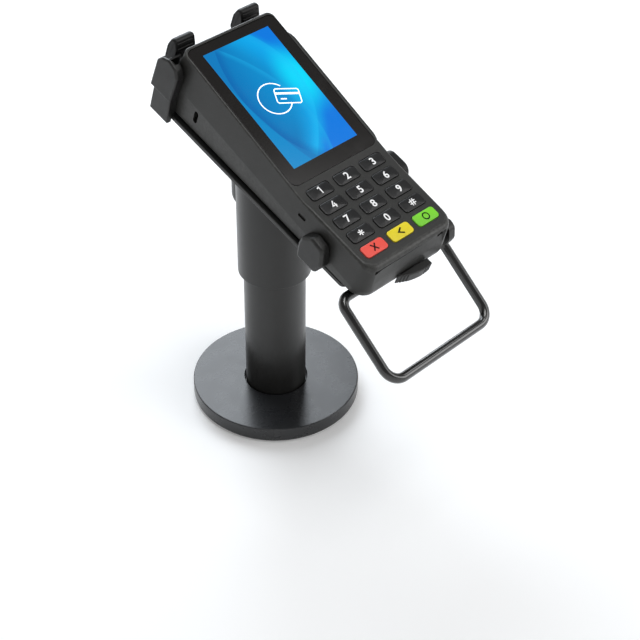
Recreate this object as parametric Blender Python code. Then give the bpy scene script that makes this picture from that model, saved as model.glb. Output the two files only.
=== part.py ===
"""Card payment terminal held by a grip plate on a tilting and swivelling counter pole.

Metres, +Z up. The origin is the middle of the round base's underside, on the pole's axis, and the
terminal faces -Y. What tilts is drawn in the tilt frame: its origin is on the tilt axle, its +Y
runs up the grip plate to the rear, and its +Z stands square to the plate.
"""

import math

import bpy
import bmesh
from mathutils import Matrix, Vector

MM = 0.001
GAP = 0.3 * MM  # clearance that neighbouring solids keep
CUT = 5 * MM  # how far a cutter runs past the face it cuts

# Stand
BASE_RADIUS = 60 * MM
BASE_TOP = 12.1 * MM
PAD_THICKNESS = 1.5 * MM
TUBE_RADIUS = 21.6 * MM
TUBE_WALL = 2 * MM
TUBE_FOOT = 8.3 * MM
TUBE_PLUG = 14 * MM
TUBE_TOP = 165.7 * MM
BASE_BOLT_RADIUS = 4 * MM
SLEEVE_RADIUS = 25.4 * MM
SLEEVE_WALL = 1.9 * MM
SLEEVE_BOTTOM = 109.5 * MM
SLEEVE_TOP = 184.5 * MM
BUSH_HEIGHT = 12 * MM
BUSH_BOTTOMS = (112 * MM, 150 * MM)

# Tilt head
TILT_AXIS = 186 * MM
TILT = math.radians(20.5)
LUG_RADIUS = 10 * MM
LUG_HALF = 11 * MM
HEAD_DISC_TOP = 174.5 * MM
AXLE_RADIUS = 3 * MM
WASHER_THICKNESS = 1 * MM
CHEEK_THICKNESS = 5 * MM
WEB_THICKNESS = 3.5 * MM
WEB_HALF = 14 * MM
HOOD_RADIUS = 15.3 * MM
HOOD_CENTRE = 19 * MM
HOOD_BOTTOM = 153 * MM
HOOD_BEND = 164 * MM
HOOD_TOP = 183.5 * MM

# Grip plate, in the tilt frame
PLATE_UNDER = 18.85 * MM
PLATE_THICKNESS = 3 * MM
PLATE_TOP = PLATE_UNDER + PLATE_THICKNESS
PLATE_HALF = 43 * MM
PLATE_REAR = 76.5 * MM
PLATE_FRONT = -102 * MM
PLATE_CORNER = 3.5 * MM
SCREW_RADIUS = 1.9 * MM
SCREW_HEAD_RADIUS = 3.2 * MM
SCREW_HEAD_HEIGHT = 1.7 * MM
BRACKET_SCREWS = ((-6 * MM, 9 * MM), (6 * MM, -9 * MM))
PLATE_SLOT_WIDTH = 4.4 * MM
PLATE_SLOTS = ((30 * MM, 62 * MM), (-72 * MM, -40 * MM))

# Terminal case, in the tilt frame
CASE_HALF = 41 * MM
CASE_BOTTOM = 24.75 * MM
CASE_REAR = 73 * MM
CASE_FRONT = -117 * MM
CASE_WALL = 2.2 * MM
CASE_FLOOR = 2.4 * MM
CASE_LID = 3 * MM
REAR_CORNER = 8 * MM
FRONT_CORNER = 11 * MM
DRAFT = 0.109  # how far the upper case leans in, per height
PARTING_HEIGHT = 38.7 * MM  # of the parting plane where it passes over the tilt axle
PARTING_SLOPE = 0.098
CREASE = -51.4 * MM  # where the screen slope turns into the keypad slope
FRONT_RIM = -110 * MM
CASE_SCREWS = ((-31 * MM, 63 * MM), (31 * MM, 63 * MM), (-34.4 * MM, -66 * MM), (34.4 * MM, -66 * MM))

# Screen, in its own frame: the middle of the picture, on the cover glass
SCREEN_CENTRE = Vector((0, 14.93 * MM, 61.02 * MM))
SCREEN_SLOPE = math.radians(9.125)
GLASS_HALF = 37.2 * MM
GLASS_REAR = 53.8 * MM
GLASS_FRONT = -57.5 * MM
GLASS_CORNER = 5 * MM
GLASS_THICKNESS = 1.4 * MM
PICTURE_LENGTH = 93.6 * MM
PICTURE_WIDTH = 56.2 * MM
PANEL_THICKNESS = 3.5 * MM

# Keypad, in its own frame: the middle of the first row, level with the key tops
KEYPAD_CENTRE = Vector((0, -51.6 * MM, 51.46 * MM))
KEYPAD_SLOPE = math.radians(1.768)
KEY_ROWS = ("1 2 3", "4 5 6", "7 8 9", "star 0 hash", "cancel clear enter")
KEY_PITCH_X = 23.4 * MM
KEY_PITCH_Y = 12.54 * MM
KEY_LENGTH = 18.8 * MM
KEY_WIDTH = 8.6 * MM
KEY_CORNER = 2.2 * MM
KEY_HEIGHT = 4.8 * MM
KEY_PROUD = 1.1 * MM
KEY_TRAVEL = 1.2 * MM
KEY_FLANGE = 0.8 * MM
KEY_LID = 2.2 * MM
MAT_THICKNESS = 1.4 * MM
KEY_BOARD_THICKNESS = 1.2 * MM
KEY_FIELD_HALF = 36 * MM
KEY_FIELD_REAR = 7.5 * MM
KEY_FIELD_FRONT = -4 * KEY_PITCH_Y - KEY_FIELD_REAR

# Card reader
MOUTH_HALF = 33.5 * MM
MOUTH_TOP = 44 * MM
MOUTH_BOTTOM = 33 * MM
MOUTH_DEPTH = 1.2 * MM
SLOT_HALF = 28 * MM
SLOT_HEIGHT = 36 * MM
SLOT_GAP = 1.6 * MM
READER_HALF = 30 * MM
READER_BOTTOM = 32.6 * MM
READER_TOP = 39.4 * MM
READER_REAR = -62 * MM
READER_FRONT = -112 * MM
RIDGE_OUTER = 41.6 * MM
RIDGE_REAR = 38.5 * MM
RIDGE_FRONT = -57 * MM
RIDGE_DEPTH = 12 * MM

# Grips
CLIP_OUTER = 48 * MM
CLIP_INNER = PLATE_HALF + 0.4 * MM
CLIP_TOUCH = CASE_HALF + 0.4 * MM
CLIP_FOOT_END = 30 * MM
CORNER_FOOT_END = 40.4 * MM  # clear of the rear hooks
CORNER_SPLIT = 35.3 * MM
HOOK_HALF = 7.3 * MM
SIDE_HOOK_HALF = 11 * MM
HOOK_CENTRE = 29 * MM
SIDE_HOOK_MIDDLE = -56 * MM
STOP_CENTRE = 4.9 * MM
STOP_HALF = 13.7 * MM
STOP_BACK = CASE_FRONT - 0.4 * MM
STOP_BOTTOM = 20.5 * MM
STOP_TOP = 28 * MM

# Handle
WIRE_RADIUS = 3.4 * MM
HANDLE_HALF = 46.6 * MM
HANDLE_REACH = -164.2 * MM
HANDLE_DROP = -3.2 * MM
HANDLE_KNEE = Vector((0, -107.3 * MM, 17.3 * MM))
HANDLE_ROOT = Vector((24 * MM, -80 * MM, 15 * MM))
HANDLE_EDGE = -102.4 * MM
HANDLE_BEND = 10.5 * MM
HANDLE_SMALL_BEND = 7 * MM
CLAMP_SCREW = (14.5 * MM, -89 * MM)

ROUND = 48  # segments of a large round piece
FINE = 24  # segments of a small one
ARC = 4  # segments of a quarter turn

FINISHES = {
    "base_steel": ((0.075, 0.085, 0.095), 0.32, 0.35),
    "pole_paint": ((0.045, 0.045, 0.043), 0.42, 0.1),
    "plate_steel": ((0.035, 0.035, 0.034), 0.45, 0.2),
    "case_plastic": ((0.062, 0.062, 0.058), 0.48, 0.0),
    "clip_plastic": ((0.045, 0.045, 0.043), 0.5, 0.0),
    "hook_rubber": ((0.012, 0.012, 0.012), 0.55, 0.0),
    "handle_wire": ((0.012, 0.012, 0.012), 0.18, 0.0),
    "screen_glass": ((0.01, 0.01, 0.012), 0.08, 0.0),
    "screen_panel": ((0.0, 0.35, 0.8), 0.3, 0.0),
    "key_black": ((0.02, 0.02, 0.022), 0.4, 0.0),
    "key_red": ((0.8, 0.07, 0.05), 0.4, 0.0),
    "key_yellow": ((0.8, 0.65, 0.02), 0.4, 0.0),
    "key_green": ((0.2, 0.6, 0.05), 0.4, 0.0),
    "board": ((0.02, 0.12, 0.05), 0.5, 0.0),
    "screw_steel": ((0.4, 0.4, 0.4), 0.3, 1.0),
    "soft_rubber": ((0.02, 0.02, 0.02), 0.8, 0.0),
    "bush_plastic": ((0.6, 0.6, 0.58), 0.4, 0.0),
}
LAST_ROW_FINISH = {"cancel": "key_red", "clear": "key_yellow", "enter": "key_green"}


def clear_scene():
    for obj in list(bpy.data.objects):
        bpy.data.objects.remove(obj)


def finish_material(name):
    found = bpy.data.materials.get(name)
    if found:
        return found
    colour, roughness, metallic = FINISHES[name]
    made = bpy.data.materials.new(name)
    made.use_nodes = True
    shader = made.node_tree.nodes["Principled BSDF"]
    shader.inputs["Base Color"].default_value = (*colour, 1)
    shader.inputs["Roughness"].default_value = roughness
    shader.inputs["Metallic"].default_value = metallic
    return made


def frame(name, parent=None, place=(0, 0, 0), turn=(0, 0, 0)):
    """An empty that carries what is drawn in its own axes."""
    empty = bpy.data.objects.new(name, None)
    bpy.context.scene.collection.objects.link(empty)
    empty.parent = parent
    empty.location = place
    empty.rotation_euler = turn
    return empty


def piece(name, made, finish, parent=None, place=(0, 0, 0), turn=(0, 0, 0), smooth=False):
    """Turns a closed bmesh into a named object with its faces pointing out."""
    bmesh.ops.recalc_face_normals(made, faces=made.faces)
    mesh = bpy.data.meshes.new(name)
    made.to_mesh(mesh)
    made.free()
    if smooth:
        mesh.shade_smooth()
        mesh.set_sharp_from_angle(angle=math.radians(30))
    obj = bpy.data.objects.new(name, mesh)
    bpy.context.scene.collection.objects.link(obj)
    obj.parent = parent
    obj.location = place
    obj.rotation_euler = turn
    if finish:
        mesh.materials.append(finish_material(finish))
    return obj


def helper(made, parent=None, place=(0, 0, 0), turn=(0, 0, 0)):
    """A shape that only cuts or joins another one."""
    obj = piece("helper", made, None, parent, place, turn)
    obj.hide_render = True
    obj.display_type = "WIRE"
    return obj


def combine(obj, operation, *others):
    for other in others:
        modifier = obj.modifiers.new(operation.lower(), "BOOLEAN")
        modifier.operation = operation
        modifier.solver = "EXACT"
        modifier.object = other
    return obj


def loft(rings):
    """A closed bmesh through rings of equally many points, with flat ends."""
    made = bmesh.new()
    rows = [[made.verts.new(point) for point in ring] for ring in rings]
    for low, high in zip(rows, rows[1:]):
        for i in range(len(low)):
            j = (i + 1) % len(low)
            made.faces.new((low[i], low[j], high[j], high[i]))
    made.faces.new(rows[0])
    made.faces.new(rows[-1])
    return made


def prism(outline, low, high, axis="z"):
    """The outline's (u, v) pairs run along the other two axes, in the order x, y, z."""
    order = {"x": lambda u, v, w: (w, u, v), "y": lambda u, v, w: (u, w, v), "z": lambda u, v, w: (u, v, w)}[axis]
    return loft([[order(u, v, level) for u, v in outline] for level in (low, high)])


def box(x0, x1, y0, y1, z0, z1):
    return prism([(x0, y0), (x1, y0), (x1, y1), (x0, y1)], z0, z1)


def rounded(x0, x1, y0, y1, low_radius, high_radius=None):
    """A rectangle's outline with round corners: low_radius at y0, high_radius at y1."""
    high_radius = low_radius if high_radius is None else high_radius
    corners = (
        (x1 - low_radius, y0 + low_radius, low_radius, -90),
        (x1 - high_radius, y1 - high_radius, high_radius, 0),
        (x0 + high_radius, y1 - high_radius, high_radius, 90),
        (x0 + low_radius, y0 + low_radius, low_radius, 180),
    )
    return [
        (cx + r * math.cos(turn), cy + r * math.sin(turn))
        for cx, cy, r, start in corners
        for turn in (math.radians(start + 90 * step / ARC) for step in range(ARC + 1))
    ]


def spokes(first, last, count):
    """Turns one radius of an arc into another of the same length, in equal steps."""
    swing = first.angle(last)
    for step in range(count + 1):
        part = swing * step / count
        yield (first * math.sin(swing - part) + last * math.sin(part)) / math.sin(swing)


def softened(corners):
    """An outline from (u, v, radius) corners, each rounded by its own arc."""
    points = []
    for i, (u, v, radius) in enumerate(corners):
        here = Vector((u, v))
        before = (Vector(corners[i - 1][:2]) - here).normalized()
        after = (Vector(corners[(i + 1) % len(corners)][:2]) - here).normalized()
        if not radius:
            points.append((u, v))
            continue
        half = before.angle(after) / 2
        reach = radius / math.tan(half)
        centre = here + (before + after).normalized() * (radius / math.sin(half))
        first, last = here + before * reach - centre, here + after * reach - centre
        points += [tuple(centre + spoke) for spoke in spokes(first, last, ARC)]
    return points


def circle(cx, cy, radius, segments=FINE):
    turns = (math.tau * i / segments for i in range(segments))
    return [(cx + radius * math.cos(t), cy + radius * math.sin(t)) for t in turns]


def cylinder(cx, cy, radius, low, high, axis="z", segments=FINE):
    return prism(circle(cx, cy, radius, segments), low, high, axis)


def turned(profile, segments=ROUND):
    """Turns a closed (radius, height) profile about Z. It makes a ring, with no point on the axis."""
    made = bmesh.new()
    rows = []
    for i in range(segments):
        turn = math.tau * i / segments
        rows.append([made.verts.new((r * math.cos(turn), r * math.sin(turn), z)) for r, z in profile])
    for i in range(segments):
        near, far = rows[i], rows[(i + 1) % segments]
        for j in range(len(profile)):
            k = (j + 1) % len(profile)
            made.faces.new((near[j], far[j], far[k], near[k]))
    return made


def ring(name, inner, outer, low, high, finish, parent=None, edge=0.0):
    profile = [(inner, low), (outer - edge, low), (outer, low + edge), (outer, high - edge)]
    profile += [(outer - edge, high), (inner, high)]
    if not edge:
        profile = [(inner, low), (outer, low), (outer, high), (inner, high)]
    return piece(name, turned(profile), finish, parent, smooth=True)


# ---- stand -------------------------------------------------------------------------------------


def make_base():
    bottom = PAD_THICKNESS + GAP
    seat = TUBE_FOOT - GAP
    bore = TUBE_RADIUS + 1 * MM
    edge = 0.8 * MM
    head_seat = 5 * MM
    hole = BASE_BOLT_RADIUS + 0.4 * MM
    head_bore = 9 * MM
    profile = [
        (head_bore, bottom), (BASE_RADIUS - edge, bottom), (BASE_RADIUS, bottom + edge),
        (BASE_RADIUS, BASE_TOP - edge), (BASE_RADIUS - edge, BASE_TOP), (bore, BASE_TOP), (bore, seat),
        (hole, seat), (hole, head_seat), (head_bore, head_seat),
    ]
    piece("base_plate", turned(profile, 72), "base_steel", smooth=True)
    pad = cylinder(0, 0, BASE_RADIUS - 2 * MM, 0, PAD_THICKNESS, segments=72)
    piece("base_foot_pad", pad, "soft_rubber", smooth=True)


def make_base_bolt():
    shank = BASE_BOLT_RADIUS
    head = cylinder(0, 0, 8 * MM, 1.9 * MM, 4.7 * MM, segments=6)
    bolt = piece("base_bolt", head, "screw_steel")
    combine(bolt, "UNION", helper(cylinder(0, 0, shank, 4 * MM, 19 * MM)))


def make_tube():
    inner = TUBE_RADIUS - TUBE_WALL
    thread = BASE_BOLT_RADIUS + 0.3 * MM
    plug_top = TUBE_FOOT + TUBE_PLUG
    profile = [
        (thread, TUBE_FOOT), (TUBE_RADIUS, TUBE_FOOT), (TUBE_RADIUS, TUBE_TOP), (inner, TUBE_TOP),
        (inner, plug_top), (thread, plug_top),
    ]
    piece("pole_tube", turned(profile), "pole_paint", smooth=True)


def make_bushes():
    for name, bottom in zip(("swivel_bush_lower", "swivel_bush_upper"), BUSH_BOTTOMS):
        inner, outer = TUBE_RADIUS + GAP, SLEEVE_RADIUS - SLEEVE_WALL - GAP
        ring(name, inner, outer, bottom, bottom + BUSH_HEIGHT, "bush_plastic")


def make_sleeve(swivel):
    inner = SLEEVE_RADIUS - SLEEVE_WALL
    ring("pole_sleeve", inner, SLEEVE_RADIUS, SLEEVE_BOTTOM, SLEEVE_TOP, "pole_paint", swivel, 0.5 * MM)


def make_head(swivel):
    disc = cylinder(0, 0, SLEEVE_RADIUS - SLEEVE_WALL - GAP, TUBE_TOP + GAP, HEAD_DISC_TOP, segments=ROUND)
    head = piece("tilt_head", disc, "plate_steel", swivel, smooth=True)
    foot = HEAD_DISC_TOP - 1 * MM
    turns = [math.pi * i / (2 * ARC) for i in range(2 * ARC + 1)]
    outline = [(-LUG_RADIUS, foot), (LUG_RADIUS, foot)]
    outline += [(LUG_RADIUS * math.cos(t), TILT_AXIS + LUG_RADIUS * math.sin(t)) for t in turns]
    lug = helper(prism(outline, -LUG_HALF, LUG_HALF, "x"), swivel)
    bore = helper(cylinder(0, TILT_AXIS, AXLE_RADIUS + GAP, -LUG_HALF - CUT, LUG_HALF + CUT, "x"), swivel)
    combine(head, "UNION", lug)
    combine(head, "DIFFERENCE", bore)


def make_hood(swivel):
    """The cover behind the head, half round, with its lower end drawn in."""
    levels = 7
    rings = []
    for i in range(levels):
        part = i / (levels - 1)
        height = HOOD_BOTTOM + (HOOD_BEND - HOOD_BOTTOM) * part
        shrink = math.sqrt(1 - (1 - part) ** 2) * 0.75 + 0.25
        rings.append([(x, y, height) for x, y in circle(0, HOOD_CENTRE, HOOD_RADIUS * shrink)])
    rings.append([(x, y, HOOD_TOP) for x, y in circle(0, HOOD_CENTRE, HOOD_RADIUS)])
    hood = piece("rear_hood", loft(rings), "clip_plastic", swivel, smooth=True)
    pole = cylinder(0, 0, SLEEVE_RADIUS + GAP, HOOD_BOTTOM - CUT, HOOD_TOP + CUT, segments=2 * ROUND)
    combine(hood, "DIFFERENCE", helper(pole, swivel))


def make_washers(swivel):
    """Friction washers between the lug and the bracket's cheeks."""
    bore = cylinder(0, TILT_AXIS, AXLE_RADIUS + GAP, -0.1, 0.1, "x")
    hole = helper(bore, swivel)
    for name, side in (("friction_washer_left", -1), ("friction_washer_right", 1)):
        near = side * (LUG_HALF + GAP)
        far = side * (LUG_HALF + GAP + WASHER_THICKNESS)
        washer = cylinder(0, TILT_AXIS, LUG_RADIUS - 1 * MM, min(near, far), max(near, far), "x")
        combine(piece(name, washer, "screw_steel", swivel), "DIFFERENCE", hole)


# ---- tilting part ------------------------------------------------------------------------------


def make_bracket(tilt):
    inner = LUG_HALF + WASHER_THICKNESS + 2 * GAP
    outer = inner + CHEEK_THICKNESS
    top = PLATE_UNDER - GAP
    under = top - WEB_THICKNESS
    turns = [math.pi + math.pi * i / (2 * ARC) for i in range(2 * ARC + 1)]
    outline = [(LUG_RADIUS * math.cos(t), LUG_RADIUS * math.sin(t)) for t in turns]
    outline += [(LUG_RADIUS, under - 3 * MM), (WEB_HALF, under), (WEB_HALF, top)]
    outline += [(-WEB_HALF, top), (-WEB_HALF, under), (-LUG_RADIUS, under - 3 * MM)]
    bracket = piece("tilt_bracket", prism(outline, -outer, outer, "x"), "plate_steel", tilt)
    slot = helper(box(-inner, inner, -WEB_HALF - CUT, WEB_HALF + CUT, -LUG_RADIUS - CUT, under), tilt)
    bore = helper(cylinder(0, 0, AXLE_RADIUS + GAP, -outer - CUT, outer + CUT, "x"), tilt)
    holes = [helper(cylinder(x, y, SCREW_RADIUS + GAP, under - CUT, top + CUT), tilt) for x, y in BRACKET_SCREWS]
    combine(bracket, "DIFFERENCE", slot, bore, *holes)
    return outer


def make_axle(tilt, cheek_outer):
    seat = cheek_outer + GAP
    head = seat + 3.4 * MM
    nut_end = -seat - 3.6 * MM
    axle = piece("tilt_axle", cylinder(0, 0, 5 * MM, seat, head, "x"), "screw_steel", tilt, smooth=True)
    shank = helper(cylinder(0, 0, AXLE_RADIUS, nut_end - 1 * MM, seat + 1 * MM, "x"), tilt)
    combine(axle, "UNION", shank)
    nut = piece("tilt_nut", cylinder(0, 0, 5.2 * MM, nut_end, -seat, "x", 6), "screw_steel", tilt)
    combine(nut, "DIFFERENCE", helper(cylinder(0, 0, AXLE_RADIUS + GAP, nut_end - CUT, 0, "x"), tilt))


def screw(name, x, y, top, length, parent, radius=SCREW_RADIUS, head=SCREW_HEAD_RADIUS):
    """A screw driven down, its head resting at top minus the head's height."""
    seat = top - SCREW_HEAD_HEIGHT
    made = piece(name, cylinder(x, y, head, seat, top, segments=12), "screw_steel", parent, smooth=True)
    combine(made, "UNION", helper(cylinder(x, y, radius, seat - length, seat + 0.5 * MM, segments=12), parent))


def make_plate(tilt):
    nose, shoulder = PLATE_HALF - 3 * MM, -90 * MM
    outline = softened((
        (-nose, PLATE_FRONT, PLATE_CORNER), (nose, PLATE_FRONT, PLATE_CORNER), (nose, shoulder, 2 * MM),
        (PLATE_HALF, shoulder + 3 * MM, 2 * MM), (PLATE_HALF, PLATE_REAR, 6 * MM), (-PLATE_HALF, PLATE_REAR, 6 * MM),
        (-PLATE_HALF, shoulder + 3 * MM, 2 * MM), (-nose, shoulder, 2 * MM),
    ))
    plate = piece("grip_plate", prism(outline, PLATE_UNDER, PLATE_TOP), "plate_steel", tilt)
    low, high = PLATE_UNDER - CUT, PLATE_TOP + CUT
    screws = (*BRACKET_SCREWS, CLAMP_SCREW, (-CLAMP_SCREW[0], CLAMP_SCREW[1]))
    cutters = [helper(cylinder(x, y, SCREW_RADIUS + GAP, low, high), tilt) for x, y in screws]
    for side in (-1, 1):
        for near, far in PLATE_SLOTS:
            x = side * 24 * MM
            half = PLATE_SLOT_WIDTH / 2
            slot = rounded(x - half, x + half, near, far, half * 0.98)
            cutters.append(helper(prism(slot, low, high), tilt))
    combine(plate, "DIFFERENCE", *cutters)


def make_plate_screws(tilt):
    top = PLATE_TOP + GAP + SCREW_HEAD_HEIGHT
    for i, (x, y) in enumerate(BRACKET_SCREWS):
        screw(f"bracket_screw_{i + 1}", x, y, top, 6 * MM, tilt)


def make_pads(tilt):
    """Rubber strips that the terminal stands on."""
    low, high = PLATE_TOP + GAP, CASE_BOTTOM - GAP
    for name, side in (("terminal_pad_left", -1), ("terminal_pad_right", 1)):
        x = side * 16 * MM
        outline = rounded(x - 4 * MM, x + 4 * MM, -60 * MM, 55 * MM, 3 * MM)
        piece(name, prism(outline, low, high), "soft_rubber", tilt)


def leaning_block(side, level, top):
    """Holds a grip whose outer face leans in above a level, as the case's own sides do."""
    below = level - 10 * MM
    wide = side * (CLIP_OUTER + DRAFT * (level - below))
    drawn_in = side * (CLIP_OUTER - DRAFT * (top - level))
    return prism([(0, 0), (wide, 0), (wide, below), (drawn_in, top), (0, top)], -0.2, 0.2, "y")


def side_clip(name, outline, side, foot, tilt, finish="clip_plastic", foot_end=CLIP_FOOT_END):
    """A cheek that touches the case's side, cut back beside the plate, with a foot on the plate."""
    low = PLATE_TOP + GAP
    clip = piece(name, prism(outline, *sorted((side * CLIP_TOUCH, side * CLIP_OUTER)), "x"), finish, tilt)
    beside = helper(box(*sorted((0, side * CLIP_INNER)), -0.2, 0.2, 0, low), tilt)
    foot_span = sorted((side * foot_end, side * (CLIP_INNER + 1 * MM)))
    rest = helper(box(*foot_span, *foot, low, CASE_BOTTOM - GAP), tilt)
    combine(clip, "DIFFERENCE", beside)
    combine(clip, "UNION", rest)
    return clip


def make_corner_clips(tilt):
    """The right one is lower, and is hidden behind the case."""
    front, back, shoulder = 59.4 * MM, 80.8 * MM, 76.9 * MM
    bottom = 17.3 * MM
    for name, side, top in (("corner_clip_left", -1, 62.8 * MM), ("corner_clip_right", 1, 50 * MM)):
        outline = softened((
            (front, bottom, 0.8 * MM), (shoulder, bottom, 0.8 * MM), (shoulder, CORNER_SPLIT, 0),
            (back, CORNER_SPLIT, 0.8 * MM), (back - 0.6 * MM, top - 1 * MM, 4 * MM),
            (front + 1.5 * MM, top, 4 * MM), (front, top - 6 * MM, 3 * MM),
        ))
        foot = (front + 3 * MM, shoulder - 4 * MM)
        clip = side_clip(name, outline, side, foot, tilt, foot_end=CORNER_FOOT_END)
        combine(clip, "INTERSECT", helper(leaning_block(side, CORNER_SPLIT, 70 * MM), tilt))


def make_cheek_clips(tilt):
    """The right one stands further forward, beside the case's front corner, clear of the handle."""
    left = softened((
        (-66.5 * MM, 18.8 * MM, 2 * MM), (-64.6 * MM, 30 * MM, 6 * MM), (-65.5 * MM, 36 * MM, 3 * MM),
        (-73 * MM, 42.6 * MM, 4 * MM), (-83.5 * MM, 40.5 * MM, 5 * MM), (-86.9 * MM, 28 * MM, 5 * MM),
        (-83 * MM, 18.8 * MM, 3 * MM),
    ))
    right = softened((
        (-89 * MM, 18.8 * MM, 2 * MM), (-89 * MM, 33 * MM, 5 * MM), (-97 * MM, 39 * MM, 5 * MM),
        (-109 * MM, 37 * MM, 5 * MM), (-114.8 * MM, 29 * MM, 5 * MM), (-113.4 * MM, 22.2 * MM, 3 * MM),
        (-101.5 * MM, 22.2 * MM, 0), (-100 * MM, 18.8 * MM, 1 * MM),
    ))
    side_clip("cheek_clip_left", left, -1, (-81 * MM, -70 * MM), tilt)
    side_clip("cheek_clip_right", right, 1, (-99 * MM, -91 * MM), tilt)


def make_side_hook(tilt):
    """The ribbed grip on the right-hand side."""
    middle, half = SIDE_HOOK_MIDDLE, SIDE_HOOK_HALF
    outline = softened((
        (middle - half + 2 * MM, 17.3 * MM, 1 * MM), (middle + half - 2 * MM, 17.3 * MM, 1 * MM),
        (middle + half, 34 * MM, 2 * MM), (middle + half - 1 * MM, 45.8 * MM, 6 * MM),
        (middle - half, 45.8 * MM, 7 * MM),
        (middle - half, 34 * MM, 2 * MM),
    ))
    side_clip("side_hook_right", outline, 1, (middle - 7 * MM, middle + 7 * MM), tilt, "hook_rubber")


def make_rear_hooks(tilt):
    """Ribbed hooks that lean on the case's upper rear edge, on arms behind it."""
    low = PLATE_TOP + GAP
    touch = CASE_REAR + 0.5 * MM
    arm, back = PLATE_REAR + 0.6 * MM, 81 * MM
    head = 84.8 * MM
    outline = softened((
        (60 * MM, low, 0), (arm, low, 0), (arm, PLATE_UNDER - 1 * MM, 0), (back, PLATE_UNDER - 1 * MM, 1 * MM),
        (back, 48 * MM, 3 * MM), (head, 54 * MM, 3 * MM), (head - 1 * MM, 66.5 * MM, 5 * MM),
        (79 * MM, 70.6 * MM, 5 * MM), (touch, 68.5 * MM, 2.5 * MM), (touch, 60 * MM, 2 * MM),
        (arm, 54 * MM, 2 * MM), (arm, CASE_BOTTOM - GAP, 0), (60 * MM, CASE_BOTTOM - GAP, 0),
    ))
    for name, side in (("rear_hook_left", -1), ("rear_hook_right", 1)):
        middle = side * HOOK_CENTRE
        hook = piece(name, prism(outline, middle - HOOK_HALF, middle + HOOK_HALF, "x"), "hook_rubber", tilt)
        grooves = [
            helper(cylinder(y, z, 0.9 * MM, middle - 5 * MM, middle + 5 * MM, "x", 8), tilt)
            for y, z in ((77.2 * MM, 71 * MM), (81.4 * MM, 70.4 * MM), (84.6 * MM, 66.6 * MM), (85.4 * MM, 61.5 * MM))
        ]
        combine(hook, "DIFFERENCE", *grooves)


def stop_depth(part):
    """How far the front stop reaches out, from -1 at its left end to 1 at its right end."""
    return (5.2 + 2.2 * part - 2.3 * part * part) * MM


def make_front_stop(tilt):
    """The ribbed stop at the case's lower front edge, bowed outwards, on an arm under the plate."""
    spread = 8
    steps = [2 * i / spread - 1 for i in range(spread + 1)]
    outline = [(STOP_CENTRE + STOP_HALF * part, STOP_BACK - stop_depth(part)) for part in steps]
    outline += [(STOP_CENTRE + STOP_HALF, STOP_BACK), (STOP_CENTRE - STOP_HALF, STOP_BACK)]
    stop = piece("front_stop", prism(outline, STOP_BOTTOM, STOP_TOP), "hook_rubber", tilt)
    under, end = PLATE_UNDER - GAP, PLATE_FRONT - 2 * GAP
    arm = [
        (-84 * MM, 14 * MM), (-84 * MM, under), (end, under), (end, CASE_BOTTOM - GAP),
        (STOP_BACK - 0.5 * MM, CASE_BOTTOM - GAP), (STOP_BACK - 0.5 * MM, STOP_BOTTOM + 0.5 * MM), (end, 14 * MM),
    ]
    half = 4 * MM
    combine(stop, "UNION", helper(prism(arm, STOP_CENTRE - half, STOP_CENTRE + half, "x"), tilt))
    grooves = []
    for side in (-1, 1):
        for inset in (2.2 * MM, 4.8 * MM):
            reach = side * (STOP_HALF - inset)
            y = STOP_BACK - stop_depth(reach / STOP_HALF)
            groove = cylinder(STOP_CENTRE + reach, y, 0.8 * MM, STOP_BOTTOM - CUT, STOP_TOP + CUT, segments=8)
            grooves.append(helper(groove, tilt))
    combine(stop, "DIFFERENCE", *grooves)


# ---- handle ------------------------------------------------------------------------------------


def handle_route():
    """Corners of half of the wire, from its root under the plate to the middle of the bar."""
    root = HANDLE_ROOT
    knee_y, knee_z = HANDLE_KNEE.y, HANDLE_KNEE.z
    return [
        (root, 0),
        (Vector((root.x, HANDLE_EDGE, root.z)), 4 * MM),
        (Vector((root.x, knee_y, knee_z)), 3.6 * MM),
        (Vector((HANDLE_HALF, knee_y, knee_z)), HANDLE_SMALL_BEND),
        (Vector((HANDLE_HALF, HANDLE_REACH, HANDLE_DROP)), HANDLE_BEND),
    ]


def bent(corners):
    """Points along a wire bent at each corner by an arc of that corner's radius."""
    points = [corners[0][0]]
    for (before, _), (here, radius), (after, _) in zip(corners, corners[1:], corners[2:]):
        into = (before - here).normalized()
        away = (after - here).normalized()
        half = into.angle(away) / 2
        reach = radius / math.tan(half)
        centre = here + (into + away).normalized() * (radius / math.sin(half))
        first, last = here + into * reach - centre, here + away * reach - centre
        count = 6 if half < math.radians(70) else 2
        points += [centre + spoke for spoke in spokes(first, last, count)]
    points.append(corners[-1][0])
    return points


def make_handle(tilt):
    half = handle_route()
    other = [(Vector((-p.x, p.y, p.z)), radius) for p, radius in reversed(half)]
    route = bent(half + other)
    curve = bpy.data.curves.new("handle", "CURVE")
    curve.dimensions = "3D"
    curve.bevel_depth = WIRE_RADIUS
    curve.bevel_resolution = 3
    curve.use_fill_caps = True
    spline = curve.splines.new("POLY")
    spline.points.add(len(route) - 1)
    for point, place in zip(spline.points, route):
        point.co = (*place, 1)
    curve.materials.append(finish_material("handle_wire"))
    handle = bpy.data.objects.new("handle", curve)
    bpy.context.scene.collection.objects.link(handle)
    handle.parent = tilt


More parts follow.
